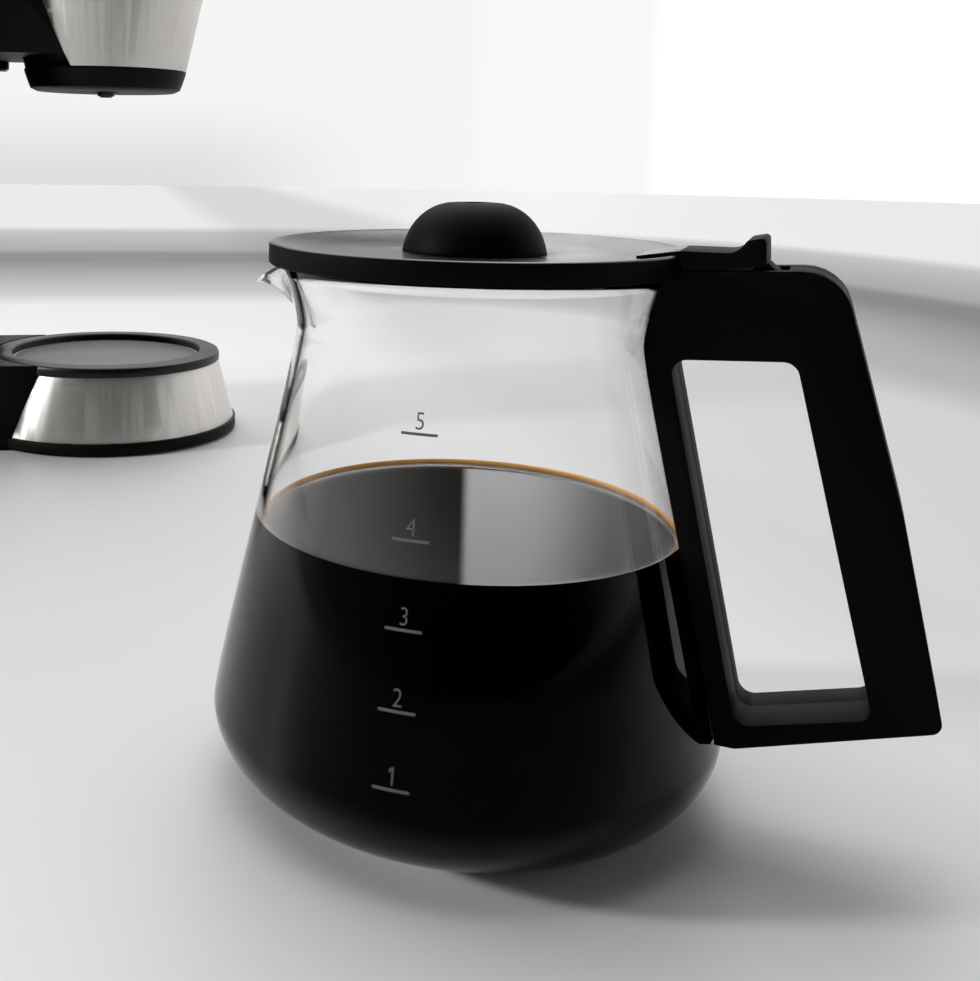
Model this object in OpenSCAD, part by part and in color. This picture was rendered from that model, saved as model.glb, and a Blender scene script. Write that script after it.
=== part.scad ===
// Drip coffee maker: a base with a hot plate, a rear tower with the water tank, a head over a
// swing-out filter holder, and a glass jug that stands on the counter in front of the machine.
// The machine's axis runs through the hot plate and the filter holder; its tower is towards -X.

/* [Places] */
// Jug's axis from the machine's axis, along X
jug_dx = 106; // [60:1:200]
// Jug's axis from the machine's axis, along Y
jug_dy = -458; // [-600:1:-300]
// Turn of the jug's handle about its axis, from +X
jug_turn = -33.5; // [-80:0.5:0]

/* [Glass jug] */
// Radius where the glass meets the counter
glass_foot_r = 54; // [48:0.5:60]
// Largest radius
glass_belly_r = 75; // [70:0.5:80]
// Height of the largest radius
glass_belly_z = 22; // [18:0.5:28]
// Radius of the neck
glass_neck_r = 51.5; // [50:0.5:54]
// Height of the neck
glass_neck_z = 134; // [126:0.5:138]
// Radius of the rim
glass_rim_r = 56; // [54:0.5:57]
// Height of the rim
glass_rim_z = 152.3; // [146:0.1:156]
// Thickness of the glass
glass_t = 2.2; // [1.8:0.1:2.6]
// Reach of the spout from the jug's axis
spout_reach = 71; // [68:0.5:76]
// Level of the coffee
coffee_z = 76.4; // [40:0.1:110]
// Length of a cup mark
mark_w = 9.6; // [6:0.1:14]
// Thickness of the printed ink
ink_t = 0.12; // [0.08:0.01:0.2]

/* [Jug handle] */
// Width of the handle, both shells together
handle_w = 22; // [20:0.5:26]
// Width of the shell on the near side of the seam
handle_seam = 13.2; // [12:0.1:15]
// Height of the handle's upper outer corner
handle_top_z = 156.9; // [155:0.1:160]
// Fall of the handle's top edge towards the lid
handle_top_fall = 2.2; // [1:0.1:2.6]
// Reach of the upper outer corner
handle_top_reach = 98.8; // [96:0.5:104]
// Reach of the grip at half height
handle_mid_reach = 116.3; // [112:0.5:119]
// Reach of the lower outer corner
handle_low_reach = 128.4; // [122:0.5:134]
// Height of the lower outer corner
handle_low_z = 41.6; // [38:0.5:46]
// Height of the handle's lowest edge
handle_foot_z = 26.7; // [24:0.5:30]
// Thickness of the grip, measured level
grip_t = 16.3; // [15:0.1:18]
// Depth of the upper arm of the handle
upper_arm_t = 24; // [22:0.5:26]
// Thickness of the strip along the glass, measured level
strip_t = 5.2; // [4.5:0.1:6.5]
// Thickness of the lower arm
lower_arm_t = 6.2; // [5.5:0.1:7.5]
// Wall of the handle's shells
handle_wall = 2.2; // [1.8:0.1:2.6]
// Gap between the handle and the glass, filled by the bond pads
bond_t = 0.6; // [0.4:0.05:1]

/* [Jug lid] */
// Radius of the lid's rim
lid_r = 60; // [59:0.5:64]
// Height of the rim's edge
lid_rim_h = 6.3; // [5.5:0.1:8]
// Width of the rim's rounded shoulder
lid_shoulder = 0.6; // [0.4:0.1:3]
// Depth of the dish in the lid's top
lid_dish = 2.5; // [1.5:0.1:3.2]
// Wall of the lid
lid_t = 2.2; // [1.8:0.1:2.6]
// Radius of the dome at its foot
dome_r = 21; // [18:0.5:24]
// Radius of the flat on the dome's top
dome_top_r = 6.3; // [4:0.1:9]
// Height of the dome's top above the lid's highest edge
dome_rise = 11.8; // [8:0.1:12]
// Depth of the skirt inside the glass
skirt_h = 2.5; // [2:0.5:14]
// Length of the lid's arm beyond the rim
lid_arm_reach = 20.8; // [20:0.1:22]
// Thickness of the lid's arm above the handle
lid_arm_t = 5.2; // [4:0.1:5.5]
// Rise of the thumb tab above the arm
tab_rise = 4.4; // [3:0.1:8]
// Radius of the lid's hinge pin
lid_pin_r = 1.2; // [1:0.05:1.5]
// Radius of the knuckle on the hinge pin
knuckle_r = 2.4; // [2.2:0.1:2.7]
// Width of the knuckle
knuckle_w = 12; // [10:0.5:13]

/* [Base] */
// Radius of the base plate
base_r = 85; // [84.5:0.5:95]
// Height of the base plate's top edge
base_z = 7.7; // [6.5:0.1:10]
// Height of the rubber feet below the base plate
foot_h = 1.6; // [1:0.1:3]
// Radius of a rubber foot
foot_r = 8; // [6:0.5:10]
// Lower radius of the steel skirt
band_low_r = 83.5; // [80:0.5:84]
// Upper radius of the steel skirt
band_top_r = 73.4; // [73:0.1:73.6]
// Thickness of the sheet steel
sheet_t = 0.8; // [0.6:0.1:1]
// Outer radius of the black ring round the hot plate
ring_r = 74; // [73.8:0.1:76]
// Height of the ring's top
ring_z = 52; // [48:0.5:60]
// Radius of the hot plate
plate_r = 59.5; // [57:0.5:60]
// Depth of the hot plate below the ring's top
plate_sunk = 4; // [3:0.5:5]
// Width of the gap between hot plate and ring
plate_gap = 1.5; // [1:0.1:2]
// Radius of the heater's bend
heater_r = 38; // [32:1:42]
// Radius of the heating tube
heater_tube_r = 4.5; // [3.5:0.1:4.8]
// Radius of the water tube beside it
water_tube_r = 5; // [4.5:0.1:5.5]

/* [Tower] */
// Distance from the machine's axis to the tower's front face
tower_front = 74.5; // [74.5:0.5:78]
// Distance from the machine's axis to the tower's back
tower_back = 162; // [158:1:190]
// Width of the tower
tower_w = 122; // [118:1:130]
// Rounding of the tower's back corners
tower_round = 18; // [10:1:24]
// Wall of the casings
case_t = 2.5; // [2:0.1:3]
// Height of the joint between tower and head
head_z = 308.6; // [300:0.1:330]
// Bottom of the water tank
tank_z = 122; // [116:1:140]
// Wall of the water tank
tank_t = 2; // [1.5:0.1:2.5]
// Width of the level window
window_w = 12; // [8:0.5:16]
// Width of the switch
switch_w = 22; // [18:0.5:26]
// Height of the switch
switch_h = 30; // [26:0.5:36]
// Tilt of the rocker to each side
rocker_tilt = 8; // [5:0.5:10]
// Radius of the cord gland's bore
gland_bore_r = 3.6; // [3:0.1:4.5]
// Radius of the water hoses
hose_r = 5.5; // [5.2:0.1:6]

/* [Head] */
// Radius of the head over the filter
head_r = 71; // [70:0.5:76]
// Height of the head
head_h = 17; // [15:0.5:24]
// Thickness of the head's cover
cover_t = 3.5; // [2.5:0.1:4]
// Radius of the spray head
spray_r = 22; // [16:1:28]
// Number of holes in the spray head's outer ring
spray_holes = 8; // [4:1:12]

/* [Filter holder] */
// Bottom of the filter holder
holder_z = 219.5; // [217:0.1:222]
// Radius of the flat under the holder
holder_foot_r = 44; // [40:0.5:46]
// Radius of the holder's cap
holder_cap_r = 49; // [48:0.5:50]
// Height where the steel cone begins
cone_z = 233; // [230:0.5:236]
// Radius of the steel cone at its lower edge
cone_low_r = 51.5; // [51:0.5:53]
// Radius of the steel cone at its upper edge
cone_top_r = 68.6; // [66:0.1:69]
// Width of the holder's arm towards the tower
arm_w = 94; // [86:1:96]
// Bottom of the holder's arm
arm_z = 240; // [238:0.5:250]
// Gap between the holder and the head above it
swing_gap = 0.6; // [0.4:0.1:1]
// Radius of the swing pin
swing_pin_r = 2.5; // [2:0.1:3]
// Number of ribs in the funnel
funnel_ribs = 12; // [6:1:18]
// Travel of the drip valve
valve_travel = 3.5; // [2:0.1:3.6]
// Radius of the drip valve's stem
valve_stem_r = 2.5; // [2:0.1:3]
// Turns of the valve spring
spring_turns = 4; // [3:1:5]

/* [Hidden] */
$fn = 72;

black = [0.06, 0.06, 0.065];
steel = [0.72, 0.71, 0.69];
bright = [0.8, 0.8, 0.8];
clear = [0.85, 0.92, 0.95, 0.35];
grey = [0.5, 0.5, 0.5];

fit_gap = 0.05;      // running clearance of a pin in its bore, and of a part in its pocket
seat_gap = 0.3;      // space between pieces that move apart
screw_r = 1.5;       // thread radius of the self-tapping screws
tap_r = screw_r + 0.02;
screw_head_r = 2.8;
screw_head_h = 2;
eps = 0.01;

// ---- paths ----
function unit(v) = v / norm(v);
function sweep_angle(a, b) = b - a > 180 ? b - a - 360 : b - a < -180 ? b - a + 360 : b - a;
// One corner [x, y, radius] between its neighbours, rounded with n steps
function corner(a, b, c, n) =
    let (p = [b[0], b[1]], u = unit([a[0], a[1]] - p), v = unit([c[0], c[1]] - p),
        half = acos(max(-1, min(1, u * v))) / 2, r = b[2])
    r <= 0 || half > 89.9 ? [p] :
    let (m = p + unit(u + v) * (r / sin(half)), s = p + u * (r / tan(half)) - m,
        e = p + v * (r / tan(half)) - m, a0 = atan2(s[1], s[0]),
        d = sweep_angle(a0, atan2(e[1], e[0])))
    [for (i = [0 : n]) m + r * [cos(a0 + d * i / n), sin(a0 + d * i / n)]];
function prev(path, i) = path[(i + len(path) - 1) % len(path)];
function next(path, i) = path[(i + 1) % len(path)];
function rounded(path, n = 6) =
    [for (i = [0 : len(path) - 1]) each corner(prev(path, i), path[i], next(path, i), n)];
// The same path moved inwards by d; its corners run counter-clockwise
function inset(path, d) = [for (i = [0 : len(path) - 1])
    let (b = [path[i][0], path[i][1]], a = [prev(path, i)[0], prev(path, i)[1]],
        c = [next(path, i)[0], next(path, i)[1]], u = unit(b - a), v = unit(c - b),
        nu = [-u[1], u[0]], nv = [-v[1], v[0]], m = (nu + nv) / (1 + nu * nv))
    [b[0] + d * m[0], b[1] + d * m[1], max(0, path[i][2] - d)]];
function bezier(p, n) = [for (i = [0 : n]) let (t = i / n, s = 1 - t)
    s * s * s * p[0] + 3 * s * s * t * p[1] + 3 * s * t * t * p[2] + t * t * t * p[3]];
// x on a straight line from a to b at height y
function on_line(a, b, y) = a[0] + (b[0] - a[0]) * (y - a[1]) / (b[1] - a[1]);

module prism(path, y0, y1) {
    translate([0, y1, 0]) rotate([90, 0, 0]) linear_extrude(y1 - y0) polygon(path);
}
module slab(path, z0, z1) {
    translate([0, 0, z0]) linear_extrude(z1 - z0) polygon(path);
}
module ring(r0, r1, z0, z1) {
    rotate_extrude() translate([r0, z0]) square([r1 - r0, z1 - z0]);
}
module rod(r, z0, z1) {
    translate([0, 0, z0]) cylinder(r = r, h = z1 - z0);
}
module block(x0, x1, y0, y1, z0, z1) {
    translate([x0, y0, z0]) cube([x1 - x0, y1 - y0, z1 - z0]);
}
// A screw whose head's underside is at the origin and whose thread points down
module screw(length) {
    rod(screw_r, -length, 0);
    difference() {
        rod(screw_head_r, 0, screw_head_h);
        block(-2, 2, -0.4, 0.4, screw_head_h - 0.8, screw_head_h + 1);
        block(-0.4, 0.4, -2, 2, screw_head_h - 0.8, screw_head_h + 1);
    }
}
// A round pipe along points, for runs whose bends are square
module pipe(points, r) {
    for (i = [0 : len(points) - 2]) {
        d = points[i + 1] - points[i];
        translate(points[i])
            rotate([0, acos(d[2] / norm(d)), atan2(d[1], d[0])])
                cylinder(r = r, h = norm(d));
        if (i > 0) translate(points[i]) sphere(r = r);
    }
}
// Points of a hose's route, with each bend turned into a curve that starts d before it
function eased(points, d, n = 4) = [for (i = [0 : len(points) - 1])
    let (p = points[i])
    each i == 0 || i == len(points) - 1 ? [p] :
    let (a = p + d * unit(points[i - 1] - p), b = p + d * unit(points[i + 1] - p))
    [for (k = [0 : n]) let (t = k / n) (1 - t) * (1 - t) * a + 2 * t * (1 - t) * p + t * t * b]];
hose_sides = 12;
// A bent tube swept along points, as one closed surface whose flats touch radius r
module sweep(points, r) {
    rings = [for (i = [0 : len(points) - 1])
        let (t = unit(points[min(i + 1, len(points) - 1)] - points[max(i - 1, 0)]),
            u = unit(cross(t, [0, 1, 0])), v = cross(t, u))
        each [for (k = [0 : hose_sides - 1]) let (a = k * 360 / hose_sides)
            points[i] + r / cos(180 / hose_sides) * (cos(a) * u + sin(a) * v)]];
    last = (len(points) - 1) * hose_sides;
    polyhedron(rings, concat([[for (k = [0 : hose_sides - 1]) k]],
        [[for (k = [hose_sides - 1 : -1 : 0]) last + k]],
        [for (i = [0 : len(points) - 2], k = [0 : hose_sides - 1])
            let (j = (k + 1) % hose_sides, o = i * hose_sides)
            [o + k, o + hose_sides + k, o + hose_sides + j, o + j]]));
}
function lengthened(points, d) = concat([points[0] + d * unit(points[0] - points[1])],
    [for (i = [1 : len(points) - 2]) points[i]],
    [points[len(points) - 1] + d * unit(points[len(points) - 1] - points[len(points) - 2])]);
module hose(points, r, bore) {
    difference() {
        sweep(points, r * cos(180 / hose_sides));
        sweep(lengthened(points, 1), bore);
    }
}

// ---- glass ----
glass_low = bezier([[glass_foot_r, 0], [glass_foot_r + 8, 0.4],
    [glass_belly_r, glass_belly_z * 0.5], [glass_belly_r, glass_belly_z]], 8);
glass_side = bezier([[glass_belly_r, glass_belly_z], [glass_belly_r, glass_belly_z + 8],
    [glass_neck_r, glass_neck_z - 8], [glass_neck_r, glass_neck_z]], 14);
glass_lip = bezier([[glass_neck_r, glass_neck_z], [glass_neck_r, glass_neck_z + 6],
    [glass_rim_r - 1.4, glass_rim_z - 4], [glass_rim_r, glass_rim_z]], 6);
function tail(path) = [for (i = [1 : len(path) - 1]) path[i]];
glass_outer = concat(glass_low, tail(glass_side), tail(glass_lip));
function slope(path, i) = unit(path[min(i + 1, len(path) - 1)] - path[max(i - 1, 0)]);
// The glass's outer curve moved d towards the axis, no lower than the floor z
function glass_curve(d, floor_z = -1) = [for (i = [0 : len(glass_outer) - 1])
    let (s = slope(glass_outer, i), p = glass_outer[i] + d * [-s[1], s[0]])
    i == len(glass_outer) - 1 ? [p[0], glass_rim_z] : [p[0], max(floor_z + i * eps, p[1])]];
glass_floor = glass_t + 0.8;
glass_inner = glass_curve(glass_t, glass_floor);
inner_neck_r = glass_neck_r - glass_t;
function glass_r(z) = lookup(z, [for (p = glass_outer) [p[1], p[0]]]);

// ---- spout: a cone that leans out through the glass, opposite the handle ----
spout_root = [glass_neck_r - 12, glass_rim_z - 20];
spout_end = [spout_reach + 4, glass_rim_z - 4];
spout_lean = atan2(spout_end[0] - spout_root[0], spout_end[1] - spout_root[1]);
spout_len = norm(spout_end - spout_root);
spout_root_r = 17;
spout_tip_r = 5;
spout_fall = 8.5;

// ---- handle: a closed loop of two half shells, in the plane through the jug's axis ----
half_w = handle_w / 2;
seam_y = handle_seam - half_w;
handle_start = 40;
top_fall_z = handle_top_z - handle_top_fall * (handle_top_reach - handle_start)
    / (handle_top_reach - lid_r);
handle_corner_r = 12;
handle_low_back = 79.2 + handle_low_reach - 128.4;
handle_path = [
    [handle_start, handle_foot_z, 0],
    [handle_low_back, handle_foot_z, 4],
    [handle_low_reach, handle_low_z, 3],
    [handle_mid_reach, (handle_top_z + handle_low_z) / 2 - 4, 200],
    [handle_top_reach, handle_top_z, handle_corner_r],
    [handle_start, top_fall_z, 0]];
function handle_top(r) = on_line([top_fall_z, handle_start], [handle_top_z, handle_top_reach], r);
gap_low = handle_low_z;
gap_top = handle_top_z - upper_arm_t;
grip_low = [on_line([handle_low_reach, handle_low_z], [handle_mid_reach, handle_path[3][1]], gap_low)
    - grip_t, gap_low];
grip_top = [on_line([handle_mid_reach, handle_path[3][1]], [handle_top_reach, handle_top_z], gap_top)
    - grip_t, gap_top];
strip_low_z = handle_foot_z + lower_arm_t;
strip_low = [glass_r(strip_low_z) + bond_t + strip_t, strip_low_z];
strip_top_z = gap_top - 1.9;
strip_top = [glass_r(strip_top_z) + bond_t + strip_t, strip_top_z];
finger_path = [[strip_low[0], strip_low[1], 4], [grip_low[0], grip_low[1], 3],
    [grip_top[0], grip_top[1], 4], [strip_top[0], strip_top[1], 4]];
handle_outline = rounded(handle_path);
finger_outline = rounded(finger_path);
hinge_at = [lid_r + lid_arm_reach + 1.2, handle_top(lid_r + lid_arm_reach) - knuckle_r + 0.3];
pocket_r = knuckle_r + 0.5;
slot_w = knuckle_w + 0.8;
screw_spots = [[hinge_at[0] - 15, gap_top + upper_arm_t * 0.42],
    [(handle_mid_reach + grip_top[0]) / 2 + 1, (handle_top_z + handle_low_z) / 2 - 8],
    [handle_low_reach - 10, handle_low_z + 6]];
boss_r = 3.6;

// ---- jug lid ----
lid_z = glass_rim_z + seat_gap;
lid_top_z = lid_z + lid_rim_h;
lid_dish_z = lid_top_z - lid_dish;
skirt_r = inner_neck_r - 1.8;
dome_top_z = lid_top_z + dome_rise;
tab_tip_r = lid_r + lid_arm_reach - 0.4;

// ---- base ----
plate_z = ring_z - plate_sunk;
plate_t = 1.2;
band_z = ring_z - 6;
band_low_z = base_z + 0.2;
ring_bore_r = plate_r + plate_gap;
ring_wall = 2.5;
heater_z = plate_z - plate_t - max(heater_tube_r, water_tube_r);
heater_span = 300;
post_r = 4;
post_at = ring_bore_r + ring_wall + post_r - 1;
post_turns = [20, 100, -60];
half_tower = tower_w / 2;
base_floor_t = 2.5;

// ---- tower ----
clip_r = hose_r + 0.9;
riser_at = [-(tower_front + case_t + clip_r + 0.8), 0];
tank_front = -riser_at[0] + 5.5;
tank_back = tower_back - case_t - 1.5;
tank_half = half_tower - case_t - 1.5;
tank_top_z = head_z - 3;
tank_out = [-(tank_front + tank_back) / 2, 0];
window_x = -(tower_front + tower_back) / 2 - 6;
window_low_z = tank_z + 8;
window_top_z = tank_top_z - 15;
switch_at = [-(tower_front + tower_back) / 2, 62];
cover_low_z = 16;
cover_top_z = tank_z - 14;
cover_half = half_tower - tower_round - 6;
gland_at = [18, 34];
gland_r = gland_bore_r + 3.4;
gland_flange = 4;

// ---- head ----
head_top_z = head_z + head_h;
shell_top_z = head_top_z - cover_t;
lid_front_x = -(tower_front + 5);
mouth_half = tank_half - 8;
tank_lid_z = shell_top_z + seat_gap;
tank_knuckle_r = (cover_t - seat_gap) / 2;
tank_pin_r = tank_knuckle_r * 0.55;
tank_hinge = [-(tower_back - 3.5), head_top_z - tank_knuckle_r];
tank_lug_y = 38;
tank_lug_w = 8;
tank_pin_l = 20;
riser_r = 4;
riser_top_z = head_z + 8.2;

// ---- filter holder ----
cone_top_z = head_z - swing_gap;
cone_slope = (cone_top_r - cone_low_r) / (cone_top_z - cone_z);
holder_wall = 2.2;
holder_floor_z = holder_z + case_t;
half_arm = arm_w / 2;
swing_r = 5;
swing_at = [-(tower_front - 0.5) + swing_r, half_arm - swing_r];
lug_t = 5;
seat_z = holder_z + 14;
seat_t = 2.5;
seat_hole_r = 6;
outlet_r = 10;
nose_r = 5.5;
nose_z = holder_z - valve_travel;
funnel_top_r = cone_top_r - sheet_t - holder_wall - 1;
spring_r = 4.6;
spring_wire_r = 0.5;
spring_low_z = nose_z + 6;

// ---- the row's origin: the middle of its whole footprint, on the counter ----
jug_side = concat([for (p = handle_outline, s = [-1, 1])
        [p[0] * cos(jug_turn) - s * half_w * sin(jug_turn),
        p[0] * sin(jug_turn) + s * half_w * cos(jug_turn)]],
    [for (a = [0, 90, 180, 270]) glass_belly_r * [cos(a), sin(a)]]);
row_x1 = max(base_r, jug_dx + max([for (p = jug_side) p[0]]));
row_y0 = jug_dy + min([for (p = jug_side) p[1]]);
origin_x = (row_x1 - tower_back - gland_flange) / 2;
origin_y = (row_y0 + base_r) / 2;

module at_machine() {
    translate([-origin_x, -origin_y, 0]) children();
}
module at_jug() {
    translate([jug_dx - origin_x, jug_dy - origin_y, 0]) rotate([0, 0, jug_turn]) children();
}

// ---- base pieces ----
// Plan of the tower, with its two back corners rounded
function tower_plan(d, front) = rounded(inset([[-tower_back, -half_tower, tower_round],
    [front, -half_tower, 0], [front, half_tower, 0], [-tower_back, half_tower, tower_round]], d));
foot_spots = [[60, 0], [0, 62], [0, -62], [-140, 42], [-140, -42]];
tower_screw_spots = [for (s = [-1, 1]) [-tower_back + 16, s * 26]];

module base_screw_spots() {
    for (a = post_turns) rotate([0, 0, a]) translate([post_at, 0, 0]) children();
    for (p = tower_screw_spots) translate(p) children();
}

module base_plate() {
    color(black) at_machine() difference() {
        union() {
            rod(base_r, foot_h, base_z);
            slab(tower_plan(0, 0), foot_h, base_z);
        }
        difference() {
            union() {
                rod(band_low_r - 4, foot_h + base_floor_t, base_z + 1);
                slab(tower_plan(case_t + 2, -20), foot_h + base_floor_t, base_z + 1);
            }
            base_screw_spots() rod(screw_head_r + 2.2, foot_h, base_z);
        }
        base_screw_spots() {
            rod(screw_r + 0.3, foot_h - 1, base_z + 1);
            rod(screw_head_r + 0.4, foot_h - 1, foot_h + screw_head_h + 0.4);
        }
        for (p = foot_spots) translate(p) rod(foot_r + fit_gap, foot_h - 1, foot_h + 1);
    }
}

module rubber_feet() {
    color([0.1, 0.1, 0.1]) at_machine() for (p = foot_spots) translate(p) rotate_extrude()
        polygon([[0, 0.4], [foot_r - 3, 0.4], [foot_r - 3, 0], [foot_r - 1, 0],
            [foot_r, 0.8], [foot_r, foot_h + 1], [0, foot_h + 1]]);
}

module base_screws() {
    color(steel) at_machine() base_screw_spots()
        translate([0, 0, foot_h + screw_head_h + 0.4]) rotate([180, 0, 0]) screw(12);
}

module foot_block(gap) {
    block(-base_r - 1, 0, -half_tower - gap, half_tower + gap, base_z, ring_z + 1);
}

module base_band() {
    color(steel) at_machine() difference() {
        rotate_extrude() polygon([[band_low_r, band_low_z], [band_top_r, band_z],
            [band_top_r - sheet_t, band_z], [band_low_r - sheet_t, band_low_z]]);
        foot_block(fit_gap);
    }
}

module plate_ring() {
    color(black) at_machine() difference() {
        union() {
            rotate_extrude() polygon([[ring_bore_r, ring_z - 1], [ring_bore_r + 1, ring_z],
                [ring_r - 2.5, ring_z], [ring_r - 0.7, ring_z - 0.8], [ring_r, ring_z - 2.5],
                [ring_r, band_z + fit_gap], [band_top_r - sheet_t - 0.3, band_z + fit_gap],
                [band_top_r - sheet_t - 0.3, band_z - 3], [band_top_r - sheet_t - 2.3, band_z - 3],
                [band_top_r - sheet_t - 2.3, ring_z - ring_wall],
                [ring_bore_r + ring_wall, ring_z - ring_wall],
                [ring_bore_r + ring_wall, plate_z - 6], [ring_bore_r - 4, plate_z - 6],
                [ring_bore_r - 4, plate_z - 4.2], [ring_bore_r, plate_z - 4.2]]);
            base_screw_posts();
        }
        for (a = post_turns) rotate([0, 0, a]) translate([post_at, 0, 0])
            rod(tap_r, base_z, base_z + 14);
    }
}
module base_screw_posts() {
    for (a = post_turns) rotate([0, 0, a]) translate([post_at, 0, 0])
        rod(post_r, base_z, ring_z - ring_wall);
}

module plate_seal() {
    color(grey) at_machine() rotate_extrude() polygon([
        [plate_r + 0.1, plate_z - 0.6], [ring_bore_r - 0.05, plate_z - 0.6],
        [ring_bore_r - 0.05, plate_z - 4.2], [ring_bore_r - 4, plate_z - 4.2],
        [ring_bore_r - 4, plate_z - 3.5], [plate_r + 0.1, plate_z - 3.5]]);
}

module hot_plate() {
    color([0.2, 0.2, 0.21]) at_machine() rotate_extrude() polygon([
        [0, plate_z], [plate_r - 1.5, plate_z], [plate_r - 0.4, plate_z - 0.4],
        [plate_r, plate_z - 1.5], [plate_r, plate_z - 3.5], [plate_r - plate_t, plate_z - 3.5],
        [plate_r - plate_t, plate_z - plate_t], [0, plate_z - plate_t]]);
}

// Heating tube and water tube side by side, bent round under the plate, open towards the tower
module heater_arc(r, tube) {
    rotate([0, 0, 180 + (360 - heater_span) / 2]) rotate_extrude(angle = heater_span)
        translate([r, heater_z]) circle(r = tube);
}
water_r = heater_r - heater_tube_r - water_tube_r + 0.6;
spigot_len = 14;
water_end_turn = 180 + (360 - heater_span) / 2;
water_ends = [for (s = [-1, 1]) [water_r * cos(water_end_turn), s * -water_r * sin(water_end_turn)]];
hose_bore_r = hose_r - 1.1;
spigot_r = hose_bore_r - 0.1;
module heater() {
    color(bright) at_machine() difference() {
        union() {
            heater_arc(heater_r, heater_tube_r);
            heater_arc(water_r, water_tube_r);
            // blocks that join the tubes and turn the water down into the hoses
            for (p = water_ends) translate(p) {
                rod(water_tube_r + 1, heater_z - water_tube_r - 0.5, plate_z - plate_t);
                rod(spigot_r, heater_z - spigot_len, heater_z);
            }
        }
        for (p = water_ends) translate(p) rod(spigot_r - 1, heater_z - spigot_len - 1, heater_z);
    }
}

clip_z = heater_z - water_tube_r;
module heater_clip() {
    color(steel) at_machine() {
        block(18, heater_r + 8, -7, 7, clip_z - 1.5, clip_z);
        block(-9, 18, -7, 7, clip_z - 1.5, clip_z);
        rod(3, clip_z - 1.5, plate_z - plate_t);
        translate([0, 0, clip_z - 1.5]) rotate([180, 0, 0]) rod(4, 0, 3);
    }
}

module thermostat() {
    color(grey) at_machine() translate([heater_r - 24, 0, 0]) {
        rod(6, clip_z - 8.5, clip_z - 1.5);
        for (s = [-1, 1]) block(-3, 3, s * 3 - 0.4, s * 3 + 0.4, clip_z - 13, clip_z - 8.5);
    }
}

module thermal_fuse() {
    color([0.85, 0.82, 0.75]) at_machine() for (s = [-1, 1])
        translate([heater_r + 3, s * 3.5, clip_z - 1.5 - 2]) rotate([0, 90, 0])
            translate([0, 0, -8]) cylinder(r = 2, h = 10);
}

// ---- tower pieces ----
module level_window_cut(gap) {
    block(window_x - window_w / 2 - gap, window_x + window_w / 2 + gap,
        -half_tower - 1, -half_tower + case_t + 1, window_low_z - gap, window_top_z + gap);
}
module switch_cut(gap) {
    block(switch_at[0] - switch_w / 2 - gap, switch_at[0] + switch_w / 2 + gap,
        -half_tower - 1, -half_tower + case_t + 1,
        switch_at[1] - switch_h / 2 - gap, switch_at[1] + switch_h / 2 + gap);
}
cover_screw_spots = [for (y = [-1, 1], z = [cover_low_z + 6, cover_top_z - 6])
    [y * (cover_half - 6), z]];

module tower_casing() {
    color(black) at_machine() difference() {
        union() {
            difference() {
                slab(tower_plan(0, -tower_front), base_z, head_z);
                slab(tower_plan(case_t, -tower_front), base_z - 1, head_z + 1);
            }
            // front wall above the foot
            block(-tower_front - case_t, -tower_front, -half_tower, half_tower,
                ring_z - case_t, head_z);
            // shelf for the tank
            difference() {
                slab(tower_plan(case_t / 2, -tower_front - 1), tank_z - case_t, tank_z);
                block(-tower_back + 12, -tower_front - 12, -16, 16, tank_z - 10, tank_z + 1);
                translate(riser_at) rod(riser_r + 3, tank_z - 10, tank_z + 1);
            }
            // posts for the screws of the base
            for (p = tower_screw_spots) translate(p) rod(post_r, base_z, base_z + 14);
            for (p = tower_screw_spots) block(-tower_back + 1, p[0], p[1] - 1.2, p[1] + 1.2,
                base_z, base_z + 14);
        }
        // way for the hoses and wires into the base
        block(-tower_front - case_t - 1, -tower_front + 1, -half_tower + case_t, half_tower - case_t,
            base_z - 1, ring_z - case_t);
        for (p = tower_screw_spots) translate(p) rod(tap_r, base_z - 1, base_z + 12);
        level_window_cut(fit_gap);
        switch_cut(fit_gap);
        // service opening in the back, with a step that the cover sits in
        block(-tower_back - 1, -tower_back + case_t + 1, -cover_half + 11, cover_half - 11,
            cover_low_z + 2, cover_top_z - 2);
        block(-tower_back - 1, -tower_back + case_t / 2, -cover_half - fit_gap,
            cover_half + fit_gap, cover_low_z - fit_gap, cover_top_z + fit_gap);
        for (p = cover_screw_spots) translate([-tower_back, p[0], p[1]]) rotate([0, 90, 0])
            rod(tap_r, -1, 12);
    }
}

// the low housing that joins the tower to the round base
module foot_housing() {
    color(black) at_machine() difference() {
        block(-tower_front, -30, -half_tower, half_tower, base_z, ring_z);
        block(-tower_front - 1, -29, -half_tower + case_t, half_tower - case_t,
            base_z - 1, ring_z - case_t);
        rod(ring_r + 0.1, base_z - 1, ring_z + 1);
    }
}

// bracket on the tower's front, under the swinging holder
module swing_bracket() {
    color(black) at_machine() difference() {
        union() {
            translate([swing_at[0], swing_at[1], 0]) rod(swing_r, arm_z - seat_gap - lug_t,
                arm_z - seat_gap);
            block(-tower_front, swing_at[0], swing_at[1] - swing_r, swing_at[1] + swing_r,
                arm_z - seat_gap - lug_t, arm_z - seat_gap);
        }
        translate([swing_at[0], swing_at[1], 0]) rod(swing_pin_r + 0.02, arm_z - 20, arm_z + 1);
    }
}

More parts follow.
